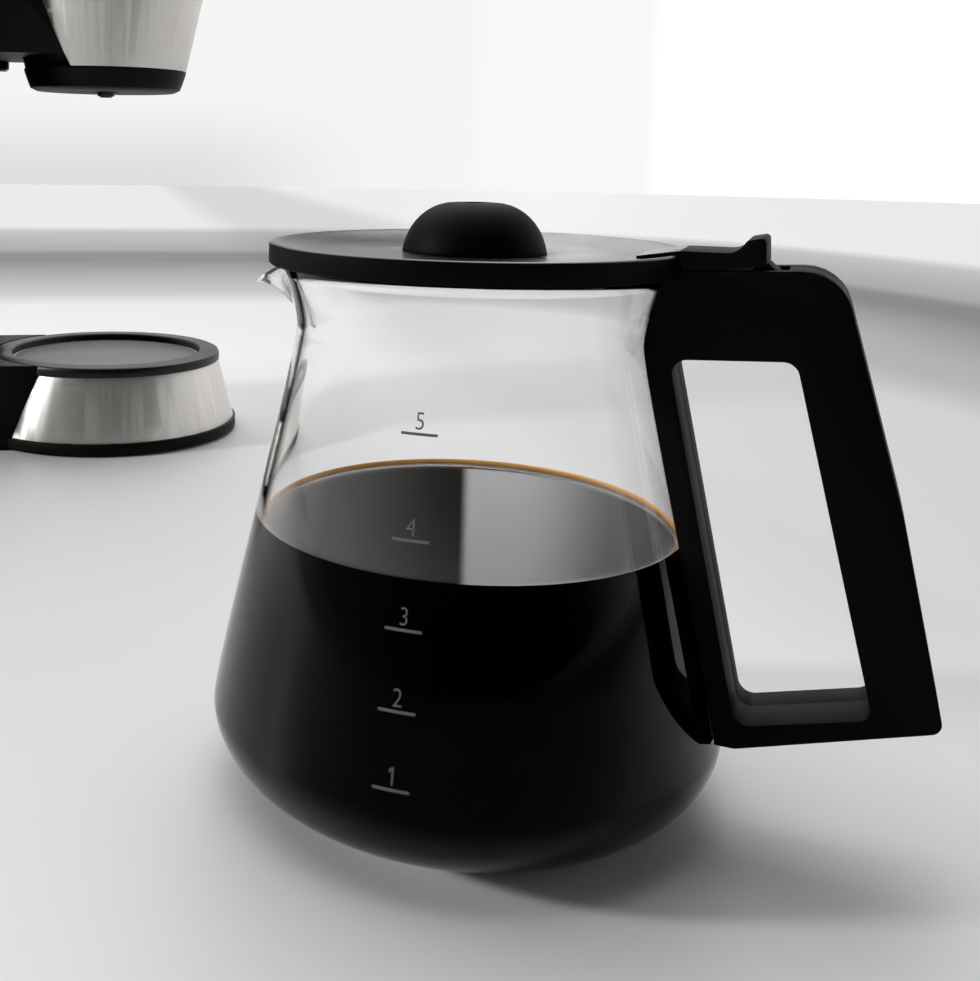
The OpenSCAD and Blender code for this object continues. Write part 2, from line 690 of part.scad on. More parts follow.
module rear_cover() {
    color(black) at_machine() difference() {
        block(-tower_back, -tower_back + case_t / 2, -cover_half, cover_half,
            cover_low_z, cover_top_z);
        for (p = cover_screw_spots) translate([-tower_back, p[0], p[1]]) rotate([0, 90, 0])
            rod(screw_r + 0.2, -1, 12);
        for (i = [0 : 6]) block(-tower_back - 1, -tower_back + case_t, -16, 16,
            cover_top_z - 14 - i * 5, cover_top_z - 12 - i * 5);
        translate([-tower_back, gland_at[0], gland_at[1]]) rotate([0, 90, 0])
            rod(gland_r - 1.2 + fit_gap, -1, 12);
    }
}

module cover_screws() {
    color(steel) at_machine() for (p = cover_screw_spots)
        translate([-tower_back - 0.02, p[0], p[1]]) rotate([0, -90, 0]) screw(case_t + 3);
}

module tank_plan_slab(d, z0, z1) {
    slab(rounded(inset([[-tank_back, -tank_half, tower_round - 3], [-tank_front, -tank_half, 5],
        [-tank_front, tank_half, 5], [-tank_back, tank_half, tower_round - 3]], d)), z0, z1);
}
module water_tank() {
    color(clear) at_machine() difference() {
        union() {
            tank_plan_slab(0, tank_z + 0.05, tank_top_z);
            translate(tank_out) rod(8, tank_z - 12, tank_z + 1);
        }
        tank_plan_slab(tank_t, tank_z + tank_t, tank_top_z + 1);
        translate(tank_out) rod(6, tank_z - 13, tank_z + 3);
    }
}

module tank_strainer() {
    color(grey) at_machine() translate(tank_out) difference() {
        union() {
            rod(9, tank_z + tank_t, tank_z + tank_t + 1.2);
            rod(5, tank_z + tank_t, tank_z + tank_t + 9);
        }
        rod(4, tank_z + tank_t - 1, tank_z + tank_t + 8);
        for (a = [0 : 45 : 135]) rotate([0, 0, a])
            block(-10, 10, -0.6, 0.6, tank_z + tank_t + 2.4, tank_z + tank_t + 7.4);
    }
}

module level_window() {
    color([0.75, 0.8, 0.82, 0.6]) at_machine() {
        block(window_x - window_w / 2, window_x + window_w / 2, -half_tower,
            -half_tower + case_t + fit_gap, window_low_z, window_top_z);
        block(window_x - window_w / 2 - 2, window_x + window_w / 2 + 2,
            -half_tower + case_t + fit_gap, -half_tower + case_t + 1.2,
            window_low_z - 3, window_top_z + 3);
    }
}

module check_valve() {
    color([0.85, 0.85, 0.83]) at_machine() translate(tank_out) difference() {
        union() {
            rod(10.2, tank_z - 14, tank_z - case_t - 0.1);
            rod(hose_r - 1.4, tank_z - 26, tank_z - 14);
        }
        rod(8 + fit_gap, tank_z - 12, tank_z);
        rod(2.6, tank_z - 27, tank_z - 11);
    }
}

// Hoses end over the spigots of the pieces that they join
spigot_lap = 9;
inlet_top = [tank_out[0], 0, tank_z - 15];
hose_low_z = base_z + hose_r + 7;
spigot_top_z = heater_z - 7;
inlet_end = water_ends[0];
riser_end = water_ends[1];
inlet_points = eased([inlet_top, [tank_out[0], 0, hose_low_z + 22],
    [tank_out[0] + 14, inlet_end[1] * 0.7, hose_low_z], [inlet_end[0] - 30, inlet_end[1], hose_low_z],
    [inlet_end[0], inlet_end[1], hose_low_z], [inlet_end[0], inlet_end[1], spigot_top_z]], 8);
riser_low_z = 76;
riser_points = eased([[riser_end[0], riser_end[1], spigot_top_z],
    [riser_end[0], riser_end[1], hose_low_z], [riser_at[0] + 16, riser_end[1], hose_low_z],
    [riser_at[0], 0, hose_low_z + 12], [riser_at[0], 0, riser_low_z + spigot_lap]], 8);
module inlet_hose() {
    color([0.8, 0.8, 0.78]) at_machine() hose(inlet_points, hose_r, hose_bore_r);
}
module riser_hose() {
    color([0.8, 0.8, 0.78]) at_machine() hose(riser_points, hose_r, hose_bore_r);
}
riser_out = [[riser_at[0], 0, riser_low_z], [riser_at[0], 0, riser_top_z],
    [0, 0, riser_top_z], [0, 0, head_z + 2.3]];
module riser_tube() {
    color([0.82, 0.82, 0.8]) at_machine() difference() {
        pipe(riser_out, riser_r);
        pipe(lengthened(riser_out, eps), riser_r - 1.1);
    }
}
module hose_clip() {
    difference() {
        rod(clip_r, -3, 3);
        rod(hose_r + fit_gap, -4, 4);
        block(0, clip_r + 1, -0.8, 0.8, -4, 4);
    }
}
module hose_clips() {
    color(steel) at_machine() {
        translate(inlet_top - [0, 0, 5]) hose_clip();
        for (p = water_ends) translate([p[0], p[1], spigot_top_z - 4]) hose_clip();
        translate([riser_at[0], 0, riser_low_z + 4]) hose_clip();
    }
}

// ---- switch, with its frame pressed into the casing ----
rocker_pin_y = -half_tower + 1.5;
module switch_frame() {
    color(black) at_machine() translate([switch_at[0], 0, switch_at[1]]) difference() {
        union() {
            block(-switch_w / 2 - 2, switch_w / 2 + 2, -half_tower - 1.4, -half_tower - fit_gap,
                -switch_h / 2 - 2, switch_h / 2 + 2);
            block(-switch_w / 2 + fit_gap, switch_w / 2 - fit_gap, -half_tower - fit_gap,
                -half_tower + 20, -switch_h / 2 + fit_gap, switch_h / 2 - fit_gap);
        }
        block(-switch_w / 2 + 2, switch_w / 2 - 2, -half_tower - 2, -half_tower + 13,
            -switch_h / 2 + 2, switch_h / 2 - 2);
        translate([0, rocker_pin_y, 0]) rotate([0, 90, 0])
            cylinder(r = 1.2 + fit_gap, h = switch_w - 2, center = true);
    }
}
rocker_arm = switch_h / 2 - 2 - 1;
rocker_path = [[-rocker_arm, 4], [-rocker_arm, -1.6], [0, -3.2], [rocker_arm, -1.6],
    [rocker_arm, 4]];
module switch_rocker() {
    color([0.09, 0.09, 0.09]) at_machine() translate([switch_at[0], rocker_pin_y, switch_at[1]])
        rotate([-rocker_tilt, 0, 0]) difference() {
            union() {
                rotate([0, -90, 0]) linear_extrude(switch_w - 4.8, center = true)
                    polygon(rocker_path);
                rotate([0, 90, 0]) cylinder(r = 1.2, h = switch_w - 2.4, center = true);
            }
            block(-3, 3, -4, 0.5, 4, 9);
        }
}
module pilot_lamp() {
    color([0.8, 0.15, 0.1]) at_machine() translate([switch_at[0], rocker_pin_y, switch_at[1]])
        rotate([-rocker_tilt, 0, 0]) block(-2.95, 2.95, -2.4, 0.45, 4.05, 8.95);
}

module cord_gland() {
    color(black) at_machine() translate([-tower_back, gland_at[0], gland_at[1]])
        rotate([0, 90, 0]) difference() {
            union() {
                rod(gland_r, -gland_flange, -fit_gap);
                rod(gland_r - 1.2, -fit_gap, case_t / 2);
                rod(gland_r, case_t / 2 + fit_gap, case_t / 2 + 2);
                rod(gland_r - 1.2, case_t / 2, case_t / 2 + 8);
            }
            rod(gland_bore_r, -5, case_t / 2 + 9);
        }
}

module terminal_block() {
    color([0.9, 0.9, 0.88]) at_machine() translate([-tower_back + 26, 12, 0]) {
        block(0, 12, 0, 30, foot_h + base_floor_t, base_z + 12);
        for (i = [0 : 2]) translate([6, 5 + i * 10, 0]) rod(3, base_z + 12, base_z + 14);
    }
}

// ---- head pieces ----
head_screw_spots = [for (a = [35, -35, 0]) (head_r - 9) * [cos(a), sin(a)]];
module head_plan_solid(z0, z1, gap, front) {
    rod(head_r - gap, z0, z1);
    slab(tower_plan(gap, front), z0, z1);
}
module head_shell() {
    color(black) at_machine() difference() {
        union() {
            difference() {
                head_plan_solid(head_z, shell_top_z, 0, 0);
                difference() {
                    head_plan_solid(head_z + 3.4, shell_top_z + 1, case_t, 0);
                    block(lid_front_x - 1, lid_front_x + 1.5, -half_tower, half_tower,
                        head_z, shell_top_z + 2);
                    slab(tower_plan(0, lid_front_x + 1), shell_top_z - case_t, shell_top_z);
                }
                // bottom open over the tank
                block(-tank_back + 2, -tank_front - 2, -tank_half + 2, tank_half - 2,
                    head_z - 1, head_z + 5);
                // fill mouth
                block(-tank_back + 4, -tank_front - 2, -mouth_half, mouth_half,
                    shell_top_z - 5, shell_top_z + 5);
            }
            for (p = head_screw_spots) translate(p) rod(post_r, head_z + 3, shell_top_z);
            translate([swing_at[0], swing_at[1], 0]) rod(swing_pin_r + 2.5, head_z + 3, head_z + 8);
            // lugs of the tank lid's hinge
            for (s = [-1, 1]) translate([tank_hinge[0], s * tank_lug_y, tank_hinge[1]]) {
                rotate([90, 0, 0]) cylinder(r = tank_knuckle_r, h = tank_lug_w, center = true);
                block(-tank_knuckle_r, tank_knuckle_r, -tank_lug_w / 2, tank_lug_w / 2,
                    shell_top_z - case_t / 2 - tank_hinge[1], 0);
            }
        }
        // pocket for the spray head, and the hole over it
        rod(spray_r + fit_gap, head_z - 1, head_z + 2.4);
        rod(riser_r + 0.3, head_z - 1, head_z + 10);
        block(riser_at[0] - riser_r - 0.5, riser_at[0] + riser_r + 0.5, -riser_r - 0.5, riser_r + 0.5,
            head_z - 1, riser_top_z + riser_r + 0.3);
        translate([0, 0, riser_top_z]) rotate([0, -90, 0])
            rod(riser_r + 0.3, -2, -riser_at[0]);
        translate([swing_at[0], swing_at[1], 0]) rod(swing_pin_r + 0.02, head_z - 1, head_z + 6.5);
        for (p = head_screw_spots) translate(p) rod(tap_r, head_z + 4, shell_top_z + 1);
        for (s = [-1, 1]) translate([tank_hinge[0], s * tank_lug_y, tank_hinge[1]])
            rotate([90, 0, 0]) cylinder(r = tank_pin_r + 0.02, h = tank_pin_l, center = true);
    }
}

module head_cover() {
    color(black) at_machine() difference() {
        intersection() {
            head_plan_solid(shell_top_z, head_top_z, 0, 0);
            block(lid_front_x + seat_gap, head_r + 1, -head_r, head_r,
                shell_top_z - 1, head_top_z + 1);
        }
        for (p = head_screw_spots) translate(p) {
            rod(screw_r + 0.3, shell_top_z - 1, head_top_z + 1);
            rod(screw_head_r + 0.3, head_top_z - screw_head_h, head_top_z + 1);
        }
    }
}

module head_screws() {
    color(steel) at_machine() for (p = head_screw_spots)
        translate([p[0], p[1], head_top_z - screw_head_h]) screw(7);
}

module spray_head() {
    color([0.15, 0.15, 0.15]) at_machine() difference() {
        union() {
            rod(spray_r, head_z, head_z + 2.2);
            rod(riser_r - 1.3, head_z + 2.2, head_z + 4);
        }
        rod(1.6, head_z + 1, head_z + 5);
        rod(spray_r - 2, head_z + 0.8, head_z + 1.6);
        for (i = [0 : spray_holes - 1]) rotate([0, 0, i * 360 / spray_holes])
            translate([spray_r - 7, 0, 0]) rod(1.2, head_z - 1, head_z + 1);
        rod(1.2, head_z - 1, head_z + 1);
    }
}

module tank_lid() {
    color(black) at_machine() difference() {
        union() {
            // plate, and the barrel along its rear edge, with notches for the head's lugs
            difference() {
                union() {
                    difference() {
                        slab(tower_plan(0, lid_front_x), tank_lid_z, head_top_z);
                        block(-tower_back - 1, tank_hinge[0], -tower_w, tower_w,
                            tank_lid_z - 1, head_top_z + 1);
                    }
                    translate([tank_hinge[0], 0, tank_hinge[1]]) rotate([90, 0, 0])
                        cylinder(r = tank_knuckle_r, h = 2 * tank_lug_y + tank_pin_l + 4,
                            center = true);
                }
                for (s = [-1, 1]) block(-tower_back - 1, tank_hinge[0] + tank_knuckle_r + 0.6,
                    s * tank_lug_y - tank_lug_w / 2 - seat_gap,
                    s * tank_lug_y + tank_lug_w / 2 + seat_gap, tank_lid_z - 1, head_top_z + 1);
            }
            // lip inside the fill mouth
            difference() {
                block(-tank_back + 5.5, -tank_front - 3.5, -mouth_half + 1.5, mouth_half - 1.5,
                    shell_top_z - 3, tank_lid_z + 0.1);
                block(-tank_back + 7.5, -tank_front - 5.5, -mouth_half + 3.5, mouth_half - 3.5,
                    shell_top_z - 4, tank_lid_z);
            }
        }
        // bore for the two hinge pins
        translate([tank_hinge[0], 0, tank_hinge[1]]) rotate([90, 0, 0])
            cylinder(r = tank_pin_r + fit_gap, h = 2 * tank_lug_y + tank_pin_l, center = true);
    }
}

module tank_lid_pins() {
    color(steel) at_machine() for (s = [-1, 1])
        translate([tank_hinge[0], s * tank_lug_y, tank_hinge[1]]) rotate([90, 0, 0])
            cylinder(r = tank_pin_r, h = tank_pin_l, center = true);
}

module swing_pin() {
    color(steel) at_machine() translate([swing_at[0], swing_at[1], 0]) {
        rod(swing_pin_r, arm_z - seat_gap - lug_t, head_z + 6);
        rod(swing_pin_r + 1.5, arm_z - seat_gap - lug_t - 1.2, arm_z - seat_gap - lug_t);
    }
}

// ---- filter holder pieces ----
function cone_r(z) = cone_low_r + cone_slope * (z - cone_z);
module arm_block(d, x1, z0, z1) {
    difference() {
        block(-(tower_front - 0.5) + d, x1, -half_arm + d, half_arm - d, z0, z1);
        // the corner at the swing pin is round
        difference() {
            block(-tower_front, swing_at[0], swing_at[1], half_arm + 1, z0 - 1, z1 + 1);
            translate([swing_at[0], swing_at[1], 0]) rod(swing_r, z0 - 2, z1 + 2);
        }
    }
}
holder_r = cone_low_r - sheet_t - 0.1;
holder_top_r = cone_top_r - sheet_t - 0.1;
module holder_shell() {
    color(black) at_machine() difference() {
        union() {
            rotate_extrude() polygon([[0, holder_z], [holder_foot_r, holder_z],
                [holder_cap_r - 1.5, holder_z + 1.6], [holder_cap_r, holder_z + 5],
                [cone_low_r - 0.2, cone_z - 1.5], [cone_low_r, cone_z - fit_gap],
                [holder_r, cone_z - fit_gap], [holder_r, cone_z],
                [holder_top_r, cone_top_z], [0, cone_top_z]]);
            arm_block(0, -20, arm_z, cone_top_z);
            difference() {
                rotate_extrude() polygon([[0, arm_z], [cone_r(arm_z), arm_z],
                    [cone_top_r, cone_top_z], [0, cone_top_z]]);
                block(0, 100, -100, 100, arm_z - 1, cone_top_z + 1);
                block(-100, 100, half_arm, 100, arm_z - 1, cone_top_z + 1);
                block(-100, 100, -100, -half_arm, arm_z - 1, cone_top_z + 1);
            }
        }
        rotate_extrude() polygon([[0, holder_floor_z], [holder_foot_r - 1, holder_floor_z],
            [holder_cap_r - holder_wall, holder_z + 6.5], [holder_r - holder_wall, cone_z],
            [holder_top_r - holder_wall, cone_top_z + eps], [0, cone_top_z + eps]]);
        rod(seat_hole_r + 2.5, holder_z - 1, holder_floor_z + 1);
        // hollow of the arm
        difference() {
            block(-(tower_front - 0.5) + 2.5, -20, -half_arm + 2.5, swing_at[1] - swing_r - 1,
                arm_z + 2.5, cone_top_z + 1);
            rod(holder_top_r + 0.1, arm_z, cone_top_z + 2);
        }
        translate([swing_at[0], swing_at[1], 0]) rod(swing_pin_r + fit_gap, arm_z - 1,
            cone_top_z + 1);
    }
}

module cone_sleeve() {
    color(steel) at_machine() difference() {
        rotate_extrude() polygon([[cone_low_r - sheet_t, cone_z], [cone_low_r, cone_z],
            [cone_top_r, cone_top_z], [cone_top_r - sheet_t, cone_top_z]]);
        block(-100, 0, -half_arm - fit_gap, half_arm + fit_gap, arm_z - fit_gap, cone_top_z + 1);
        block(-100, -cone_low_r * 0.2, -half_arm - fit_gap, half_arm + fit_gap, cone_z - 1,
            cone_top_z + 1);
    }
}

funnel_foot_r = 16;
module funnel() {
    color([0.12, 0.12, 0.12]) at_machine() difference() {
        union() {
            rotate_extrude() polygon([[0, seat_z], [funnel_foot_r + 2, seat_z],
                [funnel_top_r, cone_top_z - 3], [funnel_top_r + 0.6, cone_top_z - 0.2],
                [funnel_top_r - 2, cone_top_z - 0.2],
                [funnel_foot_r, seat_z + seat_t], [0, seat_z + seat_t]]);
            ring(outlet_r, outlet_r + 2, holder_floor_z, seat_z);
            for (i = [0 : funnel_ribs - 1]) rotate([0, 0, (i + 0.5) * 360 / funnel_ribs])
                prism([[funnel_foot_r - 0.5, seat_z + seat_t], [funnel_foot_r + 2, seat_z + seat_t - 1],
                    [funnel_top_r - 1.5, cone_top_z - 6], [funnel_top_r - 4, cone_top_z - 6]],
                    -0.6, 0.6);
        }
        rod(seat_hole_r, seat_z - 1, seat_z + seat_t + 1);
    }
}

valve_head_z = seat_z + seat_t;
module drip_valve() {
    color([0.2, 0.2, 0.2]) at_machine() {
        rod(valve_stem_r, nose_z + 5, valve_head_z + 1.6);
        rod(nose_r, nose_z + 0.8, nose_z + 5);
        rod(nose_r - 1.5, nose_z, nose_z + 0.8);
        rod(seat_hole_r + 2.5, valve_head_z + 1.6, valve_head_z + 4);
    }
}
module valve_seal() {
    color([0.6, 0.6, 0.58]) at_machine()
        ring(valve_stem_r + 0.02, seat_hole_r + 2, valve_head_z, valve_head_z + 1.6);
}
// Closely set rings stand for the coil
spring_pitch = (seat_z - spring_low_z + 1 - 2 * spring_wire_r) / spring_turns;
module valve_spring() {
    color(steel) at_machine() for (i = [0 : spring_turns])
        translate([0, 0, spring_low_z - 1 + spring_wire_r + i * spring_pitch]) {
            rotate_extrude() translate([spring_r, 0]) circle(r = spring_wire_r, $fn = 24);
            if (i < spring_turns) rotate([0, 0, i * 180]) translate([spring_r, 0, 0])
                cylinder(r = spring_wire_r * 0.8, h = spring_pitch, $fn = 24);
        }
}

// ---- jug pieces ----
module spout_cone(gap) {
    translate([-spout_root[0], 0, spout_root[1]]) rotate([0, -spout_lean, 0])
        cylinder(r1 = spout_root_r + gap, r2 = spout_tip_r + gap, h = spout_len);
}
module glass_jug() {
    color(clear) at_jug() difference() {
        union() {
            rotate_extrude() polygon(concat([[0, 1.2], [glass_foot_r - 11, 1.2],
                [glass_foot_r - 7, 0]], glass_outer, [[0, glass_rim_z]]));
            intersection() {
                spout_cone(0);
                block(-spout_reach, -10, -40, 40, glass_neck_z - 12, glass_rim_z);
            }
        }
        rotate_extrude() polygon(concat([[0, glass_floor]], glass_inner,
            [[glass_inner[len(glass_inner) - 1][0], glass_rim_z + 1], [0, glass_rim_z + 1]]));
        difference() {
            spout_cone(-glass_t);
            rod(inner_neck_r - 4, 0, glass_rim_z);
        }
        // the lip falls towards the spout's end
        prism([[-glass_rim_r, glass_rim_z], [-glass_rim_r, glass_rim_z + 1],
            [-spout_end[0] - 1, glass_rim_z + 1], [-spout_end[0] - 1, glass_rim_z - spout_fall]],
            -spout_root_r, spout_root_r);
    }
}

fill_gap = 0.1;
fill_curve = [for (p = glass_curve(glass_t + fill_gap, glass_floor + fill_gap))
    if (p[1] < coffee_z) p];
fill_top_r = lookup(coffee_z, [for (p = glass_inner) [p[1], p[0]]]) - fill_gap;
module coffee() {
    color([0.09, 0.04, 0.02]) at_jug() rotate_extrude()
        polygon(concat([[0, glass_floor + fill_gap]], fill_curve,
            [[fill_top_r, coffee_z], [0, coffee_z]]));
}

// Marks stand a fixed volume apart: each is one cup above the last
mark_heights = [28.9, 47.3, 66.6, 88.1, 114.1];
mark_side = -87;
mark_h = 0.7;
ink_gap = 0.05;
module cup_marks() {
    color("white") at_jug() for (z = mark_heights) {
        r = glass_r(z);
        turn = mark_w / r * 180 / PI;
        low = glass_r(z - mark_h / 2) + ink_gap;
        high = glass_r(z + mark_h / 2) + ink_gap;
        rotate([0, 0, mark_side - turn / 2]) rotate_extrude(angle = turn)
            polygon([[low, z - mark_h / 2], [low + ink_t, z - mark_h / 2],
                [high + ink_t, z + mark_h / 2], [high, z + mark_h / 2]]);
    }
}

// What the handle has to leave free: the glass, the lid and the lid's hinge
module handle_clearance() {
    rotate_extrude() polygon(concat([[0, -1]], glass_curve(-bond_t), [[0, glass_rim_z + 1]]));
    rod(lid_r + seat_gap, glass_rim_z, handle_top_z + 10);
    translate([hinge_at[0], 0, hinge_at[1]]) rotate([90, 0, 0])
        cylinder(r = pocket_r, h = slot_w, center = true);
    block(hinge_at[0] - 5, hinge_at[0] + pocket_r + 1.2, -slot_w / 2, slot_w / 2,
        hinge_at[1], handle_top_z + 10);
    translate([hinge_at[0], 0, hinge_at[1]]) rotate([90, 0, 0])
        cylinder(r = lid_pin_r + 0.02, h = handle_w - 5, center = true);
}
module handle_half(y0, y1, wall0, wall1) {
    difference() {
        prism(handle_outline, y0, y1);
        prism(finger_outline, y0 - 1, y1 + 1);
        // hollow, but for the strip at the glass, the hinge and the screw bosses
        difference() {
            prism(rounded(inset(handle_path, handle_wall)), y0 + wall0, y1 - wall1);
            prism(rounded(inset(finger_path, -handle_wall)), y0 - 2, y1 + 2);
            prism([[0, 0], [strip_low[0] + 1, handle_foot_z - 5], [strip_low[0] + 1, strip_low_z],
                [strip_top[0] + 3, strip_top_z], [strip_top[0] + 3, handle_top_z + 9],
                [0, handle_top_z + 9]], y0 - 1, y1 + 1);
            block(hinge_at[0] - 9, hinge_at[0] + 9, y0 - 1, y1 + 1, hinge_at[1] - 7,
                handle_top_z + 5);
            for (p = screw_spots) translate([p[0], 0, p[1]]) rotate([90, 0, 0])
                cylinder(r = boss_r, h = 60, center = true);
        }
        handle_clearance();
    }
}
module handle_shell() {
    color(black) at_jug() difference() {
        handle_half(-half_w, seam_y, handle_wall, -1);
        for (p = screw_spots) translate([p[0], half_w, p[1]]) rotate([90, 0, 0])
            rod(tap_r, 0, handle_w - handle_wall);
    }
}
module handle_cover() {
    color(black) at_jug() difference() {
        handle_half(seam_y + 0.05, half_w, -1, handle_wall);
        for (p = screw_spots) translate([p[0], half_w, p[1]]) rotate([90, 0, 0]) {
            rod(screw_r + 0.2, -1, handle_w);
            rod(screw_head_r + 0.3, -1, screw_head_h + 1);
        }
    }
}
module handle_screws() {
    color(steel) at_jug() for (p = screw_spots) translate([p[0], half_w - screw_head_h - 1, p[1]])
        rotate([-90, 0, 0]) screw(handle_w - screw_head_h - 1 - handle_wall - 2);
}
pad_low_z = [handle_foot_z + 1, strip_low_z + 4];
pad_top_z = [glass_neck_z - 8, glass_neck_z + 7];
module bond_pads() {
    color([0.7, 0.7, 0.7]) at_jug() for (z = [pad_low_z, pad_top_z]) intersection() {
        difference() {
            rotate_extrude() polygon(concat([[0, -1]], glass_curve(-bond_t + 0.04),
                [[0, glass_rim_z]]));
            rotate_extrude() polygon(concat([[0, -2]], glass_curve(-0.02),
                [[0, glass_rim_z + 1]]));
        }
        block(20, 90, -half_w + 2, half_w - 2, z[0], z[1]);
    }
}
module lid_pin() {
    color(steel) at_jug() translate([hinge_at[0], 0, hinge_at[1]]) rotate([90, 0, 0])
        cylinder(r = lid_pin_r, h = handle_w - 5.4, center = true);
}

// ---- jug lid pieces ----
arm_low = handle_top(lid_r) + seat_gap;
arm_low_out = handle_top(tab_tip_r) + seat_gap;
arm_root_z = arm_low + lid_arm_t;
arm_path = [[lid_r - 12, lid_top_z - 1.4, 0], [lid_r - 1, lid_top_z - 1.4, 0],
    [lid_r + 0.2, arm_low, 0], [tab_tip_r + 0.4, arm_low_out + 0.9, 0.6],
    [tab_tip_r, arm_root_z + tab_rise, 1.2], [tab_tip_r - 4.6, arm_root_z + tab_rise - 1, 1.2],
    [lid_r + 13.5, arm_root_z, 5], [lid_r - 1, arm_root_z, 4], [lid_r - 12, lid_top_z - 0.5, 0]];
module jug_lid() {
    color(black) at_jug() difference() {
        union() {
            rotate_extrude() polygon([[dome_r - 3.5, lid_dish_z], [lid_r - 15, lid_dish_z],
                [lid_r - lid_shoulder - 3, lid_top_z - 0.5], [lid_r - lid_shoulder - 1, lid_top_z],
                [lid_r - lid_shoulder, lid_top_z],
                [lid_r - lid_shoulder * 0.45, lid_top_z - lid_shoulder * 0.2],
                [lid_r - lid_shoulder * 0.1, lid_top_z - lid_shoulder * 0.6],
                [lid_r, lid_top_z - lid_shoulder], [lid_r, lid_z + 0.5], [lid_r - 0.5, lid_z],
                [skirt_r + 2.4, lid_z], [skirt_r + 0.4, lid_dish_z - lid_t],
                [dome_r - 3.5, lid_dish_z - lid_t]]);
            prism(rounded(arm_path), -half_w, half_w);
            translate([hinge_at[0], 0, hinge_at[1]]) rotate([90, 0, 0])
                cylinder(r = knuckle_r, h = knuckle_w, center = true);
            prism([[hinge_at[0] - 4, arm_low_out + 1.5], [hinge_at[0] - knuckle_r, hinge_at[1]],
                [hinge_at[0], hinge_at[1] - 1], [hinge_at[0] + knuckle_r - 0.4, hinge_at[1] + 1],
                [hinge_at[0] - 1.2, arm_low_out + 1.6]], -knuckle_w / 2, knuckle_w / 2);
        }
        translate([hinge_at[0], 0, hinge_at[1]]) rotate([90, 0, 0])
            cylinder(r = lid_pin_r + fit_gap, h = handle_w, center = true);
    }
}
module lid_skirt() {
    color(black) at_jug() difference() {
        ring(skirt_r - 2, skirt_r, lid_z - skirt_h, lid_dish_z - lid_t - 0.02);
        // gap for the spout
        block(-skirt_r - 2, -skirt_r + 12, -9, 9, lid_z - skirt_h - 1, lid_z - 0.5);
    }
}
dome_curve = bezier([[dome_r, lid_dish_z + 0.02], [dome_r - 1.2, lid_dish_z + 8.5],
    [dome_top_r + 7, dome_top_z], [dome_top_r, dome_top_z]], 10);
module lid_dome() {
    color(black) at_jug() rotate_extrude() polygon(concat([[dome_r - 5.6, lid_dish_z - 4],
        [dome_r - 3.6, lid_dish_z - 4], [dome_r - 3.6, lid_dish_z + 0.02]], dome_curve,
        [[dome_top_r * 0.5, dome_top_z], [dome_top_r * 0.5, dome_top_z - 2],
        [dome_top_r + 1, dome_top_z - 2], [dome_r - 5.6, lid_dish_z + 5]]));
}

// ---- every node ----
base_plate();
rubber_feet();
base_screws();
base_band();
plate_ring();
plate_seal();
hot_plate();
heater();
heater_clip();
thermostat();
thermal_fuse();
tower_casing();
foot_housing();
swing_bracket();
rear_cover();
cover_screws();
water_tank();
tank_strainer();
level_window();
check_valve();
inlet_hose();
riser_hose();
riser_tube();
hose_clips();
switch_frame();
switch_rocker();
pilot_lamp();
cord_gland();
terminal_block();
head_shell();
head_cover();
head_screws();
spray_head();
tank_lid();
tank_lid_pins();
swing_pin();
holder_shell();
cone_sleeve();
funnel();
drip_valve();
valve_seal();
valve_spring();
glass_jug();
coffee();
cup_marks();
handle_shell();
handle_cover();
handle_screws();
bond_pads();
lid_pin();
jug_lid();
lid_skirt();
lid_dome();
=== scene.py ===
from math import atan2, cos, degrees, exp, hypot, pi, radians, sin

import bpy
from mathutils import Matrix, Vector


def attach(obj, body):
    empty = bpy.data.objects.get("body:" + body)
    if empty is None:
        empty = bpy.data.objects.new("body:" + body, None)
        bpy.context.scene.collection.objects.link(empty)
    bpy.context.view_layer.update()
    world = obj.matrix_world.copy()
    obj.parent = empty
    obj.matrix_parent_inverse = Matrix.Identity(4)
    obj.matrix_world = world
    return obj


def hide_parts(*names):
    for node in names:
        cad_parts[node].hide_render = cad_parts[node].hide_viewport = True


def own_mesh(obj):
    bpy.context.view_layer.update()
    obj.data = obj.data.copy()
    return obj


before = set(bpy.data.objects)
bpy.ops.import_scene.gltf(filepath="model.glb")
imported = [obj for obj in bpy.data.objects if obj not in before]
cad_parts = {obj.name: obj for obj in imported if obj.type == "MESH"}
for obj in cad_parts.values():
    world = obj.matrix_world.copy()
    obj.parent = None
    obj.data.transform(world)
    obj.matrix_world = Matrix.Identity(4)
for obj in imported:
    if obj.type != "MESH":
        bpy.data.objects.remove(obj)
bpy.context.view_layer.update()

scene = bpy.context.scene
scene.view_settings.view_transform = "Standard"
mm = 0.001

# ---- Camera ----
# Stands 0.8 m in front of the machine, a little above the jug's lid, and looks slightly down.
# It is turned a little to the right, and its shift frames the machine and the jug.
camera_place = Vector((-26.4, -568.5, 186.1)) * mm
heading, pitch, roll = radians(9.67), radians(5.96), 0.0144
camera_data = bpy.data.cameras.new("camera")
camera_data.lens = 44.03
camera_data.shift_x = 0.1837
camera_data.shift_y = -0.2224
camera = bpy.data.objects.new("camera", camera_data)
scene.collection.objects.link(camera)
ahead = Vector((sin(heading) * cos(pitch), cos(heading) * cos(pitch), -sin(pitch)))
right = Vector((cos(heading), -sin(heading), 0))
up = right.cross(ahead)
across = right * cos(roll) + up * sin(roll)
upward = up * cos(roll) - right * sin(roll)
turn = Matrix((across, upward, -ahead)).transposed().to_4x4()
camera.matrix_world = Matrix.Translation(camera_place) @ turn
scene.camera = camera

# ---- Counter ----
# A wide pale counter top of matt solid surface, one seamless sheet. Past its far and right
# edges the same sheet goes on as a sill and a low wall, drawn only by bands of painted shade
# and light.


def linear(colour):
    """An sRGB hex colour as the linear values that a shader takes."""
    parts = [int(colour[i:i + 2], 16) / 255 for i in (1, 3, 5)]
    return [c / 12.92 if c <= 0.04045 else ((c + 0.055) / 1.055) ** 2.4 for c in parts] + [1]


